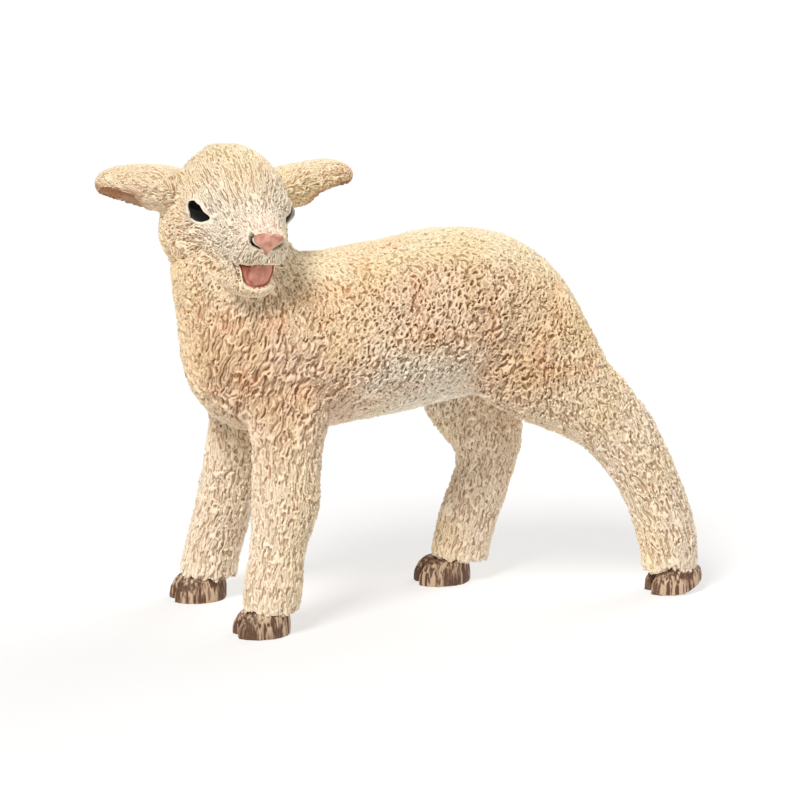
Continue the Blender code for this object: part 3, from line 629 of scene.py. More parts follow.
def curls(points, normals, seeds):
    """How far each point is from its curl's border, its curl, and its place across that, in widths."""
    border, owner = np.zeros(len(points)), np.zeros(len(points), int)
    for block, near, far in compare(points, normals, seeds, CURL_REACH):
        rows = np.arange(len(block))
        first = far.argmin(axis=1)
        nearest_far = np.sqrt(far[rows, first])
        far[rows, first] = np.inf
        border[block] = np.sqrt(far.min(axis=1)) - nearest_far
        owner[block] = near[first]
    at, facing, lie, width, *_ = seeds
    sideways = np.cross(lie, facing) / width[:, None]
    return border, owner, np.sum((points - at[owner]) * sideways[owner], axis=1)


def strokes(points, normals, seeds):
    """Rises and dips at random, longest along the wool, mostly from -1 to 1."""
    height = np.zeros(len(points))
    for block, near, far in compare(points, normals, seeds, STROKE_REACH):
        height[block] = np.exp(-STROKE_FALL * far) @ seeds[-1][near]
    return height


# Carving: lengths in mm, and heights as shares of the relief, which goes from 0 to 1
WARP_LENGTH = 0.8
WARP_SHARE = 0.45
STRANDS = 1.6
STRAND_HEIGHT = 0.12
RIDGE_SHARE = 0.42
RIDGE_POWER = 1.2
RIDGE_HEIGHTS = (0.15, 0.6)
WORM_SHARE = 0.42
WORM_LEVEL = 0.05
WORM_HEIGHTS = (0.9, -0.25)
BREAK_LENGTH = 1.1
HOLLOW_LEVEL = 0.26
HOLLOW_WAVE = 0.15
LOCK_STEP = 0.10
DEEPENING = 2.3
SWELL_LENGTH = 3.2
SWELL_HEIGHT = 0.10
MEAN_ROUNDS = 6

# Stains and yellowing: the size of the patches in mm, and where the stains begin and are full, in mm
STAIN_LENGTH = 2.4
STAINED_FROM_HEAD = (7.0, 13.0)
STAINED_HEIGHTS = (19.0, 25.0)
STAIN_IN_HOLLOWS = 0.7
STAIN_ON_RIDGES = 0.15
YELLOW_LENGTH = 4.5
YELLOW_SHARE = 0.7


def weather(points, high, low):
    """Multiplies the stains and the yellowing into the paints of the ridges and of the hollows."""
    far = np.linalg.norm(points - HEAD_ORIGIN, axis=1)
    stained = smoothstep(*STAINED_FROM_HEAD, far) * smoothstep(*STAINED_HEIGHTS, points[:, 2])
    stained *= smoothstep(0.0, 0.7, noise(points, STAIN_LENGTH, 5))
    stain = stained[:, None] * (linear(STAIN) - 1)
    yellowed = smoothstep(-0.2, 0.8, noise(points, YELLOW_LENGTH, 6))
    low *= 1 + STAIN_IN_HOLLOWS * stain
    high *= 1 + STAIN_ON_RIDGES * stain
    high *= 1 + YELLOW_SHARE * yellowed[:, None] * (linear(YELLOWING) - 1)


def carve(skin, comb, curl_seeds, stroke_seeds, smooth=0.0):
    """Carves the wool: winding ridges where the strokes cross one level, and borders or strands of curls.

    Gives how far each point stands out of its surroundings, and the paints of ridges and hollows there.
    """
    _, width, _, depth, net, high, low = comb.read(skin.points, skin.normals)
    warped = skin.points + vector_noise(skin.points, WARP_LENGTH) * (WARP_SHARE * width)[:, None]
    border, owner, across = curls(warped, skin.normals, curl_seeds)
    stroke = strokes(warped, skin.normals, stroke_seeds)
    top = curl_seeds[-1][owner]
    strand = np.cos(2 * np.pi * (STRANDS * across + top))
    ridge = np.clip(1 - border / RIDGE_SHARE, 0, 1) ** RIDGE_POWER
    worm = np.clip(1 - np.abs(stroke - WORM_LEVEL) / WORM_SHARE, 0, 1)
    broken = smoothstep(-0.5, 0.5, noise(skin.points, BREAK_LENGTH, 3))
    ridge_height, worm_height = (a + b * broken for a, b in (RIDGE_HEIGHTS, WORM_HEIGHTS))
    crest = np.maximum(ridge * ridge_height * net, worm * worm_height)
    slope = HOLLOW_LEVEL + HOLLOW_WAVE * np.clip(stroke, -1, 1) + LOCK_STEP * top * (1 - net)
    relief = crest + (1 - crest) * (slope + STRAND_HEIGHT * strand * (1 - net))
    swell = SWELL_HEIGHT * noise(skin.points, SWELL_LENGTH, 1)
    skin.push((1 - smooth) * (DEEPENING * depth * (relief - 0.5) + swell))
    standing = relief - skin.mean(relief, MEAN_ROUNDS)
    weather(skin.points, high, low)
    # The share of the ridges' paint at each point, low in the hollows, where the darker paint is partly
    # painted shade
    return np.clip(0.5 + 0.9 * standing + 0.3 * (relief - 0.5), 0, 1), high, low


# The face, in the head's own frame

EYE_MIDDLE = (2.67, 4.50, 1.12)
EYE_YAW = 52
EYE_OUTLINE = [
    (-1.05, 0.48), (-0.75, 0.74), (-0.35, 0.92), (0.38, 0.78), (0.91, 0.37), (1.66, -0.04), (1.57, -0.36),
    (0.91, -0.8), (0.25, -0.98), (-0.36, -0.84), (-0.4, -0.3), (-0.85, 0.18),
]
EYE_REACH = 2.2
BALL_SHIFT = (0.0, 0.30, 0.0)
BALL_RADII = (0.80, 1.52, 1.17)
BALL_SINK = 0.15
LID_TOP = 0.92
LID_SLOPE = 0.72
LID_RISE = 0.06
LID_SETBACK = 0.12
LID_WIDTH = 0.14
LID_BAND = 1.5
LID_REACH = 2.0
LID_EDGES = (-0.04, 0.05)
LOWER_LID = (0.3, -0.5)
LEAST_CALM = 0.6
RIM_EDGES = (-0.3, -0.1)

MOUTH_OUTLINE = [
    (-1.86, -1.9), (-1.62, -1.8), (-1.1, -1.75), (-0.5, -1.55), (0, -1.28), (0.6, -1.16), (1.2, -1.25),
    (1.7, -1.5), (2.05, -1.9), (2.1, -2.4), (1.95, -3.05), (1.65, -3.6), (1.1, -3.9), (0.45, -4.02),
    (-0.2, -4.02), (-0.85, -3.84), (-1.22, -3.48), (-1.44, -3), (-1.56, -2.5), (-1.68, -2.14),
]
LIP_LINE = MOUTH_OUTLINE[:9]
TONGUE_EDGE = [(-0.8, -1.8), (-0.95, -2.5), (-0.8, -3.2), (-0.3, -3.65)]
MOUTH_FRONT = 7.2
MOUTH_DEPTH = 0.22
MOUTH_EDGE = 0.12
SLIT_EDGES = (0.34, 0.10)
GROOVE_WIDTH = 0.12
GUM_EDGES = (-0.75, -1.05)
LIP_RISE = 0.1

# How deep the slit, the groove, the crease and the gum are in the mouth, and how dark each is, as painted
# shade
PART_DEPTHS = (0.55, 0.16, 0.16, 0.08)
PART_SHADES = (1.1, 0.4, 0.45, 0.35)

NOSE_OUTLINE = [
    (0, 2.12), (0.6, 2.22), (1.1, 2.08), (1.42, 1.82), (1.5, 1.45), (1.36, 1.12), (1.05, 0.9), (0.7, 0.72),
    (0.46, 0.48), (0.32, 0.15), (0.15, -0.15),
]
NOSTRIL_PATH = [(1.5, 1.8), (1.7, 1.45), (1.66, 1.1), (1.4, 0.82), (0.95, 0.62), (0.62, 0.52)]
NOSTRIL_WIDTHS = (0.02, 0.05, 0.08, 0.1, 0.08, 0.04)
NOSE_FRONT = 7.5
PAD_RISE = 0.12
PAD_GROOVE = 0.07
NOSTRIL_DEPTH = 0.5
NOSTRIL_RIM = 0.1
CLEFT_WIDTH = 0.10
CLEFT_DEPTH = 0.12


def eye_axes(side):
    """Where an eye looks, and the ways along and up its opening."""
    yaw = math.radians(EYE_YAW)
    outward = np.array((math.cos(yaw), side * math.sin(yaw), 0))
    along = np.array((math.sin(yaw), -side * math.cos(yaw), 0))
    return outward, along, np.array((0, 0, 1.0))


def eye_depth(place, side):
    """How deep each point lies inside an eye's opening, seen from the front of that eye."""
    outward, along, up = eye_axes(side)
    apart = place - np.array(EYE_MIDDLE) * (1, side, 1)
    depth = outline_depth(apart @ along, apart @ up, EYE_OUTLINE)
    return np.where(np.abs(apart @ outward) < EYE_REACH, depth, -FAR), apart @ up


def eye_ball(side):
    """Middle and axes of an eye ball, in the part."""
    axes = np.stack(eye_axes(side), axis=1)
    middle = np.array(EYE_MIDDLE) * (1, side, 1) + axes @ np.array(BALL_SHIFT)
    return from_head(middle), HEAD_ROTATION @ axes


def shape_eyes(skin, paint_high, paint_low):
    """Raises and paints the lids round the eyes' openings."""
    quiet = np.zeros(len(skin.points))
    for side in (-1, 1):
        depth, up = eye_depth(in_head(skin.points), side)
        lower = smoothstep(*LOWER_LID, up)
        lid = bell(depth + LID_SETBACK, LID_WIDTH) * (1 + lower)
        skin.push(LID_RISE * lid, HEAD_ROTATION @ eye_axes(side)[0])
        calm = LEAST_CALM + (1 - LEAST_CALM) * lower
        quiet = np.maximum(quiet, smoothstep(-0.5, -LID_SETBACK, depth) * calm)
        outer, inner = (edge * (1 + lower) for edge in RIM_EDGES)
        for paint in (paint_high, paint_low):
            blend(paint, smoothstep(outer, inner, depth) * np.maximum(lower, 0.5), WHITE)
            blend(paint, smoothstep(-0.03, 0.03, depth), BLACK)
    return quiet


def fit_lids(skin):
    """Takes the skin under the eye balls inside the eyes' openings, and over them as lids outside."""
    for side in (-1, 1):
        depth, _ = eye_depth(in_head(skin.points), side)
        middle, axes = eye_ball(side)
        out, along, up = ((skin.points - middle) @ axes).T
        round_off = (along / BALL_RADII[1]) ** 2 + (up / BALL_RADII[2]) ** 2
        ball_top = BALL_RADII[0] * np.sqrt(np.clip(1 - round_off, 0, 1))
        lids = np.maximum(out, LID_TOP * (1 - LID_SLOPE * round_off))
        open_share = smoothstep(*LID_EDGES, depth)
        wanted = lids * (1 - open_share) + np.minimum(out, ball_top - BALL_SINK) * open_share
        near = (depth > -LID_BAND) & (np.abs(out) < LID_REACH)
        skin.push(np.where(near, wanted - out, 0), axes[:, 0])


def shape_mouth(skin, paint_high, paint_low):
    """The open mouth with the tongue that nearly fills it, the slit over it, and the lips."""
    place = in_head(skin.points)
    x, y, z = place.T
    depth = np.where(x > MOUTH_FRONT, outline_depth(y, z, MOUTH_OUTLINE), -FAR)
    under_lip, _ = path_distance(y, z, LIP_LINE)
    edge, _ = path_distance(y, z, TONGUE_EDGE)
    inside = smoothstep(0.0, MOUTH_EDGE, depth)
    slit = smoothstep(*SLIT_EDGES, under_lip)
    groove = bell(depth - 0.1, GROOVE_WIDTH) * (1 - slit)
    parts = (slit, groove, bell(edge, GROOVE_WIDTH), smoothstep(*GUM_EDGES, y))
    hollow = inside * sum((share * part for share, part in zip(PART_DEPTHS, parts)), start=MOUTH_DEPTH)
    lower_lip = smoothstep(-2.2, -2.9, z) * bell(depth + 0.25, 0.2)
    front = smoothstep(MOUTH_FRONT - 1, MOUTH_FRONT, x)
    skin.push(front * LIP_RISE * lower_lip - hollow, HEAD_ROTATION @ np.array((1.0, 0, 0)))
    rim = front * smoothstep(-0.6, -0.15, depth) * smoothstep(-2.0, -2.8, z)
    for paint in (paint_high, paint_low):
        blend(paint, 0.5 * rim, WHITE)
    # The darkness of the slit, the groove, the crease and the gum is painted shade in these recesses
    shade = sum(share * part for share, part in zip(PART_SHADES, parts))
    return depth, 1 - inside * np.clip(shade, 0, 1), np.maximum(smoothstep(-0.25, -0.05, depth), inside)


def shape_nose(skin):
    """The nose pad, raised a little, with a comma of a nostril at each side."""
    place = in_head(skin.points)
    x, y, z = place[:, 0], np.abs(place[:, 1]), place[:, 2]
    outline = [*NOSE_OUTLINE, *[(-a, b) for a, b in reversed(NOSE_OUTLINE[1:])]]
    front = x > NOSE_FRONT
    depth = np.where(front, outline_depth(place[:, 1], z, outline), -FAR)
    far, along = path_distance(y, z, NOSTRIL_PATH)
    width = np.interp(along, np.linspace(0, 1, len(NOSTRIL_WIDTHS)), NOSTRIL_WIDTHS)
    nostril = smoothstep(0.06, -0.02, far - width) * front
    rim = bell(far - width - 0.12, 0.08) * front
    cleft = bell(y, CLEFT_WIDTH) * smoothstep(0.6, 0.1, z) * smoothstep(-1.5, -1.1, z) * front
    rise = PAD_RISE * smoothstep(-0.05, 0.25, depth) - PAD_GROOVE * bell(depth + 0.06, 0.1)
    skin.push(rise + NOSTRIL_RIM * rim - (NOSTRIL_DEPTH * nostril + CLEFT_DEPTH * cleft))
    # Darker in the groove round the pad and in the cleft, as painted shade; the nostrils are painted black
    cavity = np.clip(1 - nostril - 0.45 * bell(depth, 0.12) - 0.5 * cleft, 0, 1)
    return depth, nostril, cavity, np.clip(smoothstep(-0.15, 0.05, depth) + nostril + rim + cleft, 0, 1)


# Ears

EAR_NEAR = 7
EAR_END = 1.1
EAR_TAPER = 1.15
EAR_ROOT_SHARES = (0.3, 0.5)
EAR_EDGE_SHARES = (0.92, 0.70)


def ear_inside(points, normals):
    """How far each point is inside the hollow of an ear, from 0 to 1."""
    inside = np.zeros(len(points))
    for name in EAR_NODES:
        corners = solid(name)[0]
        middle = corners.mean(axis=0)
        _, axes = np.linalg.eigh(np.cov((corners - middle).T))
        thin, tall, long = axes[:, 0], axes[:, 1], axes[:, 2]
        long = long if long @ (middle - HEAD_ORIGIN) > 0 else -long
        thin = thin if thin @ HEAD_ROTATION @ np.array((1, 0, -1)) > 0 else -thin
        reach = (corners - middle) @ long
        apart = points - middle
        along = (apart @ long - reach.min()) / np.ptp(reach)
        near = np.all(np.abs(apart) < EAR_NEAR, axis=1) & (along < EAR_END)
        faces = smoothstep(0.05, 0.5, normals @ thin)
        half = np.abs((corners - middle) @ tall).max() * np.sqrt(np.clip(EAR_TAPER - along**3, 0.05, 1))
        edge = smoothstep(*EAR_EDGE_SHARES, np.abs(apart @ tall) / half)
        inside = np.maximum(inside, near * faces * edge * smoothstep(*EAR_ROOT_SHARES, along))
    return inside


# Finished pieces

# How long the mean normal round an opening is where the opening lies flat
FLAT_OPENING = 0.6


def boundary_loops(quads):
    """Rings of points round the open edges of a patch, in the patch's own winding."""
    edges = edges_of(quads)
    size = quads.max() + 1
    forward = edges[:, 0] * size + edges[:, 1]
    backward = edges[:, 1] * size + edges[:, 0]
    following = {}
    for a, b in edges[~np.isin(forward, backward)].tolist():
        following.setdefault(a, []).append(b)
    loops = []
    while following:
        start = next(iter(following))
        loop, here = [], start
        while here in following:
            loop.append(here)
            ends = following[here]
            there = ends.pop()
            if not ends:
                del following[here]
            here = there
        loops.append(loop)
    return loops


def closed(points, normals, quads):
    """All points of a patch with a shallow lid behind each open edge, and the lids' triangles.

    An edge round a nearly flat stretch gets none, such as the openings that the nose and the mouth fill.
    """
    extra, lids, total = [], [], len(points)
    for loop in boundary_loops(quads):
        if np.linalg.norm(normals[loop].mean(axis=0)) > FLAT_OPENING:
            continue
        ring = points[loop] - normals[loop] * CAP_DEPTH
        extra += [ring, ring.mean(axis=0)[None]]
        n = len(loop)
        for k in range(n):
            a, b = loop[k], loop[(k + 1) % n]
            c, d = total + k, total + (k + 1) % n
            lids += [(b, a, c), (b, c, d), (d, c, total + n)]
        total += n + 1
    return np.concatenate([points, *extra]), np.array(lids, dtype=np.int64).reshape(-1, 3)


def add_layer(mesh, key, values, count):
    """Keeps a number or a paint at each of count points, the last one at those of the lids too."""
    full = np.concatenate([values, np.repeat(values[-1:], count - len(values), axis=0)])
    kind, field = ("FLOAT", "value") if full.ndim == 1 else ("FLOAT_COLOR", "color")
    if full.ndim == 2:
        full = np.concatenate([full, np.ones((count, 1))], axis=1)
    mesh.attributes.new(key, kind, "POINT").data.foreach_set(field, full.astype(np.float32).ravel())


def build_piece(name, skin, chosen, layers, material, nodes):
    """One visible piece from the chosen faces of a skin, which stands for the CAD nodes."""
    quads = skin.quads[chosen]
    used, where = np.unique(quads, return_inverse=True)
    quads = where.reshape(quads.shape)
    points, lids = closed(skin.points[used], skin.normals[used], quads)
    mesh = bpy.data.meshes.new(name)
    corners = np.concatenate([quads.ravel(), lids.ravel()])
    sizes = np.concatenate([np.full(len(quads), 4), np.full(len(lids), 3)])
    mesh.vertices.add(len(points))
    mesh.vertices.foreach_set("co", (points * MM).astype(np.float32).ravel())
    mesh.loops.add(len(corners))
    mesh.loops.foreach_set("vertex_index", corners.astype(np.int32))
    mesh.polygons.add(len(sizes))
    starts = np.concatenate([[0], np.cumsum(sizes)[:-1]])
    mesh.polygons.foreach_set("loop_start", starts.astype(np.int32))
    mesh.update(calc_edges=True)
    mesh.shade_smooth()
    for key, values in layers.items():
        add_layer(mesh, key, values[used], len(points))
    normals = np.zeros((len(points), 3))
    normals[: len(used)] = skin.normals[used]
    mesh.normals_split_custom_set_from_vertices(normals.tolist())
    obj = bpy.data.objects.new(name, mesh)
    finish_piece(obj, material, nodes)


def finish_piece(obj, material, nodes):
    bpy.context.scene.collection.objects.link(obj)
    obj.data.materials.append(material)
    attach(obj, "root")
    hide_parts(*nodes)


# Materials


class Shader:
    """A material's node tree, with short calls for its nodes."""

    def __init__(self, name, roughness, specular):
        self.material = bpy.data.materials.new(name)
        self.material.use_nodes = True
        self.tree = self.material.node_tree
        self.bsdf = self.tree.nodes["Principled BSDF"]
        self.set("Roughness", roughness)
        self.set("Specular IOR Level", specular)

    def node(self, kind, **inputs):
        made = self.tree.nodes.new("ShaderNode" + kind)
        for key, value in inputs.items():
            self.put(made.inputs[key.replace("_", " ")], value)
        return made

    def put(self, socket, value):
        if isinstance(value, bpy.types.NodeSocket):
            self.tree.links.new(value, socket)
        else:
            socket.default_value = value

    def set(self, key, value):
        self.put(self.bsdf.inputs[key], value)

    def attribute(self, name, output):
        made = self.node("Attribute")
        made.attribute_name = name
        return made.outputs[output]

    def mix(self, factor, a, b):
        made = self.node("Mix")
        made.data_type = "RGBA"
        self.put(made.inputs[0], factor)
        self.put(made.inputs[6], a)
        self.put(made.inputs[7], b)
        return made.outputs[2]

    def add(self, value, other, share):
        """The value plus a share of the other."""
        made = self.node("Math")
        made.operation = "MULTIPLY_ADD"
        self.put(made.inputs[0], other)
        made.inputs[1].default_value = share
        self.put(made.inputs[2], value)
        return made.outputs[0]

    def spread(self, value, low, high, to_low=0.0, to_high=1.0):
        ends = {"From_Min": low, "From_Max": high, "To_Min": to_low, "To_Max": to_high}
        made = self.node("MapRange", Value=value, **ends)
        made.interpolation_type = "SMOOTHSTEP"
        return made.outputs["Result"]

    def noise(self, wavelength, detail=2.0, roughness=0.5):
        """Noise whose features are about wavelength mm across."""
        place = self.node("TexCoord").outputs["Object"]
        scale = 1 / (wavelength * MM)
        made = self.node("TexNoise", Vector=place, Scale=scale, Detail=detail, Roughness=roughness)
        return made.outputs["Fac"]

    def bump(self, height, distance, strength):
        made = self.node("Bump", Height=height, Distance=distance * MM, Strength=strength)
        self.set("Normal", made.outputs["Normal"])


def wool_material(name, roughness, low_end, high_end):
    """The ridges' paint laid over the relief with a dry brush, and the hollows' darker one, partly painted
    shade, left where it is low.
    """
    s = Shader(name, roughness, 0.35)
    relief = s.attribute("relief", "Fac")
    # Where the relief is low, the darker paint stands partly for the figure's wash and partly for painted
    # shade
    brushed_and_shaded = s.spread(s.add(relief, s.noise(0.3), 0.30), low_end + 0.15, high_end + 0.15)
    low, high = s.attribute("paint_low", "Color"), s.attribute("paint_high", "Color")
    s.set("Base Color", s.mix(brushed_and_shaded, low, high))
    s.set("Roughness", s.spread(brushed_and_shaded, 0.0, 1.0, roughness + 0.1, roughness - 0.08))
    s.bump(s.noise(0.14, 3.0, 0.6), 0.04, 0.6)
    return s.material


def cavity_material(name, roughness, deep, crease, top, bump_distance):
    """One paint over the open surface, with darker ones in its creases, as painted shade, and in its
    holes.
    """
    s = Shader(name, roughness, 0.5)
    cavity = s.add(s.attribute("relief", "Fac"), s.noise(0.6, 3.0), 0.12)
    shaded = rgba([0.4 * a + 0.6 * b for a, b in zip(top, crease)])
    worn = s.mix(s.spread(s.noise(0.7, 3.0), 0.38, 0.66), rgba(top), shaded)
    creased = s.mix(s.spread(cavity, 0.45, 1.0), rgba(crease), worn)
    s.set("Base Color", s.mix(s.spread(cavity, 0.12, 0.42), rgba(deep), creased))
    s.set("Roughness", s.spread(s.noise(0.5), 0.3, 0.7, roughness - 0.08, roughness + 0.1))
    s.bump(s.noise(0.12), bump_distance, 0.5)
    return s.material


def eye_material():
    s = Shader("eye_gloss", 0.08, 0.15)
    glints = s.spread(s.noise(0.8), 0.4, 0.8)
    s.set("Base Color", s.mix(glints, rgba(EYE_BLACK), rgba(EYE_GLINT)))
    return s.material


# The lamb's pieces

FLEECE_NAMES = ("fleece_front", "fleece_shoulder", "fleece_flank", "fleece_rear")
FLEECE_CUTS = (-14.0, -3.0, 8.0)
HEM_TOP = 4.4
HEM_BOTTOM = 2.75
HEM_DROP = 0.75
HEM_FLARE = 0.12
FACE_SWELL = 0.3
FACE_BACK = 1.5
CALM_LEVEL = 0.6
HOLLOW_CALM = 0.75

# Middles and radii of the balls that fill the seats of the mouth and the nose, in the head's own frame
FILLINGS = (((5.9, 0, -2.75), (3.75, 2.8, 2.45)), ((8.9, 0, 1.3), (1.15, 1.75, 1.15)))

HOOF_STREAK = 0.22
STREAK_DEPTH = 0.10
STREAK_STEEPNESS = 0.12
CLEFT_SPREAD = 0.32
CLEFT_LENGTH = 0.9
HOOF_CLEFT = 0.22


def build_body(comb, grain, wool):
    """Trunk, legs and tail, down to the hooves and up to under the head."""
    skin = voxel_skin([solid(name, SEAM_FILL) for name in BODY_NODES + HEAD_NODES], grain, BODY_ROUNDING)
    skin.push(-SEAM_FILL)
    seeds = sow(skin, grain, comb, rng)
    stroke_seeds = scatter(skin, grain, comb, rng)
    owner, _ = nearest(skin.points, BODY_NODES + HEAD_NODES)
    high_up = np.flatnonzero(skin.points[:, 2] > COLLAR_HEIGHT)
    past = np.full(len(skin.points), FAR)
    past[high_up] = past_head_seam(skin.points[high_up])
    relief, high, low = carve(skin, comb, seeds, stroke_seeds)
    hang_hem(skin, owner)
    skin.push(-OVERLAP_SINK * smoothstep(0, -HEAD_OVERLAP, past))
    layers = {"relief": relief, "paint_high": high, "paint_low": low}
    label = owner[skin.quads[:, 0]]
    shown = past[skin.quads].min(axis=1) > -HEAD_OVERLAP
    trunk = shown & ((label == 0) | (label >= len(BODY_NODES)))
    x = skin.points[skin.quads[:, 0], 0]
    bounds = (-np.inf, *FLEECE_CUTS, np.inf)
    for name, start, end in zip(FLEECE_NAMES, bounds, bounds[1:]):
        build_piece(name, skin, trunk & (x >= start) & (x < end), layers, wool, ["torso"])
    for k, node in enumerate(BODY_NODES[1:], 1):
        build_piece(node + "_wool", skin, shown & (label == k), layers, wool, [node])
    return seeds


def past_head_seam(points):
    """How far each point lies beyond the seam between head and neck, negative on the head."""
    _, to_head = nearest(points, HEAD_NODES + FACE_NODES)
    _, to_body = nearest(points, ("torso",))
    return to_head - to_body


def hang_hem(skin, owner):
    """Lets the wool of the legs hang over the hooves in locks."""
    legs = np.isin(owner, [BODY_NODES.index(name) for name in LEG_NODES])
    low_down = smoothstep(HEM_TOP, HEM_BOTTOM, skin.points[:, 2]) * legs
    flat = skin.points * (1, 1, 0)
    locks = smoothstep(-0.7, 0.7, noise(flat, 0.55, 2)) * 0.75
    locks += smoothstep(-0.5, 0.5, noise(flat, 1.6, 1)) * 0.25
    skin.push(low_down * HEM_FLARE, skin.normals * (1, 1, 0))
    skin.points[:, 2] -= low_down**2 * HEM_DROP * locks
    skin.update()


def build_head(comb, grain, seeds, face_wool):
    """Head and ears in one skin, with the nose and the mouth cut out of it as pieces of their own."""
    solids = [solid(name, SEAM_FILL) for name in HEAD_NODES]
    solids += [solid(name, FACE_SWELL) for name in FACE_NODES] + [collar(SEAM_FILL)]
    solids += [ball(from_head(middle), radii, HEAD_ROTATION) for middle, radii in FILLINGS]
    skin = voxel_skin(solids, grain, HEAD_ROUNDING)
    skin.push(-SEAM_FILL)
    skin.keep(skin.points[skin.quads].min(axis=1)[:, 2] > COLLAR_HEIGHT + COLLAR_TRIM)
    past = past_head_seam(skin.points)
    past = past[skin.keep(past[skin.quads].min(axis=1) < HEAD_MARGIN)]
    owner, _ = nearest(skin.points, HEAD_NODES)
    plain_high, plain_low = comb.read(skin.points, skin.normals)[-2:]
    high, low = plain_high.copy(), plain_low.copy()
    quiet = shape_eyes(skin, high, low)
    mouth_depth, mouth_cavity, calm_mouth = shape_mouth(skin, high, low)
    nose_depth, nostril, nose_cavity, calm_nose = shape_nose(skin)
    hollow = ear_inside(skin.points, skin.normals)
    calm = np.clip(quiet + calm_mouth + calm_nose + HOLLOW_CALM * hollow, 0, 1)
    relief, wool_high, wool_low = carve(skin, comb, seeds, scatter(skin, grain, comb, rng), calm)
    high *= wool_high / plain_high
    low *= wool_low / plain_low
    fit_lids(skin)
    relief = relief * (1 - calm) + CALM_LEVEL * calm
    for paint, ear in ((high, EAR_PINK), (low, EAR_SHADE)):
        blend(paint, hollow, ear)
        blend(paint, nostril, BLACK)
    layers = {"relief": relief, "paint_high": high, "paint_low": low}
    corner = skin.quads
    nose = nose_depth[corner].min(axis=1) > 0
    mouth = (mouth_depth[corner].min(axis=1) > 0) & ~nose
    rest = ~nose & ~mouth & (past[corner].min(axis=1) < 0)
    label = owner[corner[:, 0]]
    front = in_head(skin.points[corner[:, 0]])[:, 0] > FACE_BACK
    for name, share in (("face", front), ("poll", ~front)):
        build_piece(name, skin, rest & (label == 0) & share, layers, face_wool, ["head"])
    for k, node in enumerate(EAR_NODES, 1):
        build_piece(node + "_wool", skin, rest & (label == k), layers, face_wool, [node])
    nose_paint = cavity_material("nose_paint", 0.5, BLACK, NOSE_SHADE, NOSE_PINK, 0.015)
    build_piece("nose_leather", skin, nose, {"relief": nose_cavity}, nose_paint, ["nose_pad"])
    mouth_paint = cavity_material("mouth_paint", 0.38, MOUTH_RED, TONGUE_SHADE, TONGUE_PINK, 0.01)
    build_piece("mouth_lining", skin, mouth, {"relief": mouth_cavity}, mouth_paint, ["tongue"])


def build_eye(node, side, material):
    """A finer ball that fills the opening between the lids."""
    middle, axes = eye_ball(side)
    ball_points, triangles = ball(middle, BALL_RADII, axes)
    if np.linalg.det(axes) < 0:
        triangles = triangles[:, ::-1]
    mesh = bpy.data.meshes.new(node + "_ball")
    mesh.from_pydata((ball_points * MM).tolist(), [], triangles.tolist())
    mesh.shade_smooth()
    finish_piece(bpy.data.objects.new(node + "_ball", mesh), material, [node])


def build_hoof(node, grain, material):
    """A cloven hoof with upright streaks."""
    skin = voxel_skin([solid(node)], grain, HOOF_ROUNDING)
    low, high, middle = box_of(node)
    flat = skin.points.copy()
    flat[:, 2] *= STREAK_STEEPNESS
    side = smoothstep(0.75, 0.4, np.abs(skin.normals[:, 2]))
    grooves = (noise(flat, HOOF_STREAK, 0) + noise(flat, HOOF_STREAK / 2.2, 1)) / 2
    relief = smoothstep(-0.5, 0.5, grooves)
    above_floor = smoothstep(0.02, 0.25, skin.points[:, 2])
    normals = skin.normals
    skin.push(STREAK_DEPTH * (relief - 0.5) * side * above_floor)
    x, y, _ = skin.points.T
    cleft = bell(y - middle[1], CLEFT_SPREAD) * smoothstep(middle[0], low[0] + CLEFT_LENGTH, x)
    skin.push(-HOOF_CLEFT * cleft * above_floor, normals)
    skin.points[:, 2] = np.maximum(skin.points[:, 2], 0)
    skin.update()
    # The horn's streaks of grain, and painted shade in the cleft
    tone = np.clip(relief * (0.62 + 0.4 * noise(flat, 0.8, 2)) - 0.5 * cleft, 0, 1)
    # Darker towards the top, as painted shade under the wool that hangs over the hoof
    tone *= 1 - 0.6 * smoothstep(high[2] - 1.1, high[2] - 0.4, skin.points[:, 2])
    everything = np.ones(len(skin.quads), bool)
    build_piece(node + "_horn", skin, everything, {"relief": tone}, material, [node])


def hoof_material():
    s = Shader("hoof_paint", 0.5, 0.4)
    tone = s.add(s.attribute("relief", "Fac"), s.noise(0.35), 0.3)
    s.set("Base Color", s.mix(s.spread(tone, 0.25, 0.8), rgba(HOOF_BROWN), rgba(HOOF_BEIGE)))
    s.bump(s.noise(0.12), 0.02, 0.6)
    return s.material


scale = 1.0
rng = np.random.default_rng(SEED)
comb = Comb()
comb_trunk(comb)
for leg in LEG_NODES:
    comb_leg(comb, leg)
comb_head(comb)
seeds = build_body(comb, BODY_GRAIN * scale, wool_material("wool_paint", 0.72, 0.10, 0.72))
build_head(comb, HEAD_GRAIN * scale, seeds, wool_material("face_paint", 0.7, 0.08, 0.74))
gloss = eye_material()
for node, side in (("eye_left", 1), ("eye_right", -1)):
    build_eye(node, side, gloss)
horn = hoof_material()
for hoof in HOOF_NODES:
    build_hoof(hoof, HOOF_GRAIN * scale, horn)


# Floor, lamps and camera: lamps are given by azimuth, elevation and spread in degrees, and strength

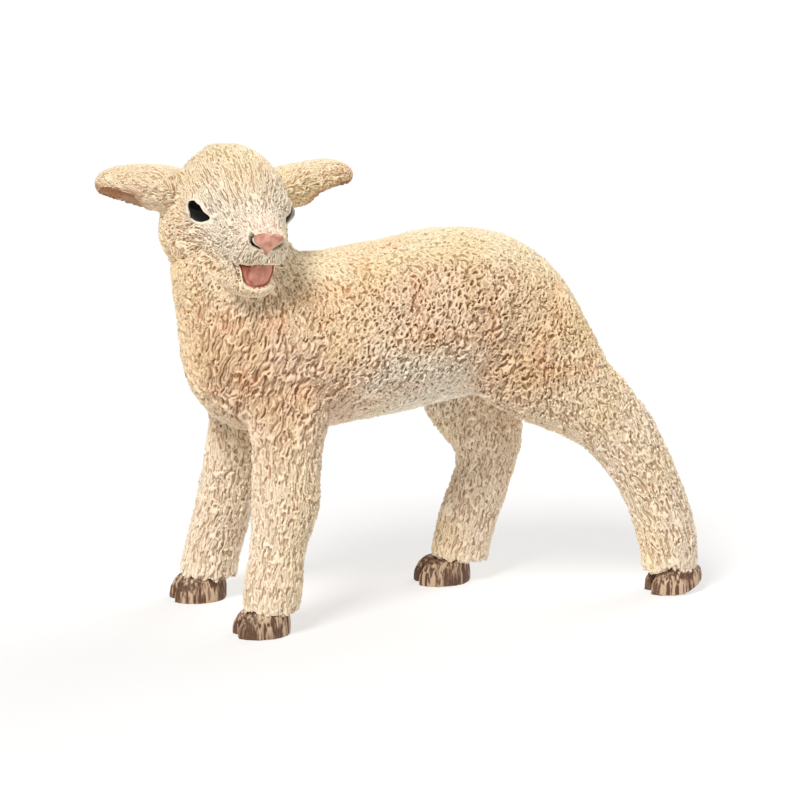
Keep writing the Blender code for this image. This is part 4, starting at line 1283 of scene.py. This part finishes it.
FLOOR_SIZE = 1500
FLOOR_GLOW = 0.63
LAMPS = {"key": (-48, 50, 20, 2.7), "fill": (25, 20, 60, 0.35), "rim": (115, 38, 40, 1.5)}
SKY_STRENGTH = 0.20


def floor():
    bm = bmesh.new()
    bmesh.ops.create_grid(bm, x_segments=2, y_segments=2, size=FLOOR_SIZE * MM)
    mesh = bpy.data.meshes.new("floor")
    bm.to_mesh(mesh)
    bm.free()
    s = Shader("floor_paint", 0.9, 0.1)
    s.set("Base Color", rgba(FLOOR_GREY))
    s.set("Emission Color", rgba(FLOOR_WHITE))
    s.set("Emission Strength", FLOOR_GLOW)
    mesh.materials.append(s.material)
    obj = bpy.data.objects.new("floor", mesh)
    bpy.context.scene.collection.objects.link(obj)


def direction(azimuth, elevation):
    a, e = math.radians(azimuth), math.radians(elevation)
    return Vector((math.sin(a) * math.cos(e), -math.cos(a) * math.cos(e), math.sin(e)))


def aim(obj, back):
    """Puts a lamp or the camera where it looks at the lamb along a direction."""
    obj.location = (Vector(from_hoof(TARGET_FROM_HOOF)) + back * VIEW_DISTANCE) * MM
    obj.rotation_euler = back.to_track_quat("Z", "Y").to_euler()
    bpy.context.scene.collection.objects.link(obj)


def soft_lamp(name, azimuth, elevation, spread, strength):
    """Even light from one side, as from a large soft box, so that the floor is as bright far off."""
    lamp = bpy.data.lights.new(name, "SUN")
    lamp.angle, lamp.energy = math.radians(spread), strength
    aim(bpy.data.objects.new(name, lamp), direction(azimuth, elevation))


def camera():
    data = bpy.data.cameras.new("camera")
    data.lens, data.sensor_width = VIEW_LENS, VIEW_SENSOR
    data.clip_start, data.clip_end = (end * MM for end in VIEW_RANGE)
    obj = bpy.data.objects.new("camera", data)
    aim(obj, direction(VIEW_AZIMUTH, VIEW_ELEVATION))
    bpy.context.scene.camera = obj


def sky():
    world = bpy.data.worlds.new("studio")
    world.use_nodes = True
    background = world.node_tree.nodes["Background"]
    background.inputs["Color"].default_value = (1, 1, 1, 1)
    background.inputs["Strength"].default_value = SKY_STRENGTH
    bpy.context.scene.world = world


floor()
for name, lamp in LAMPS.items():
    soft_lamp(name, *lamp)
sky()
bpy.context.scene.view_settings.view_transform = "Standard"
camera()
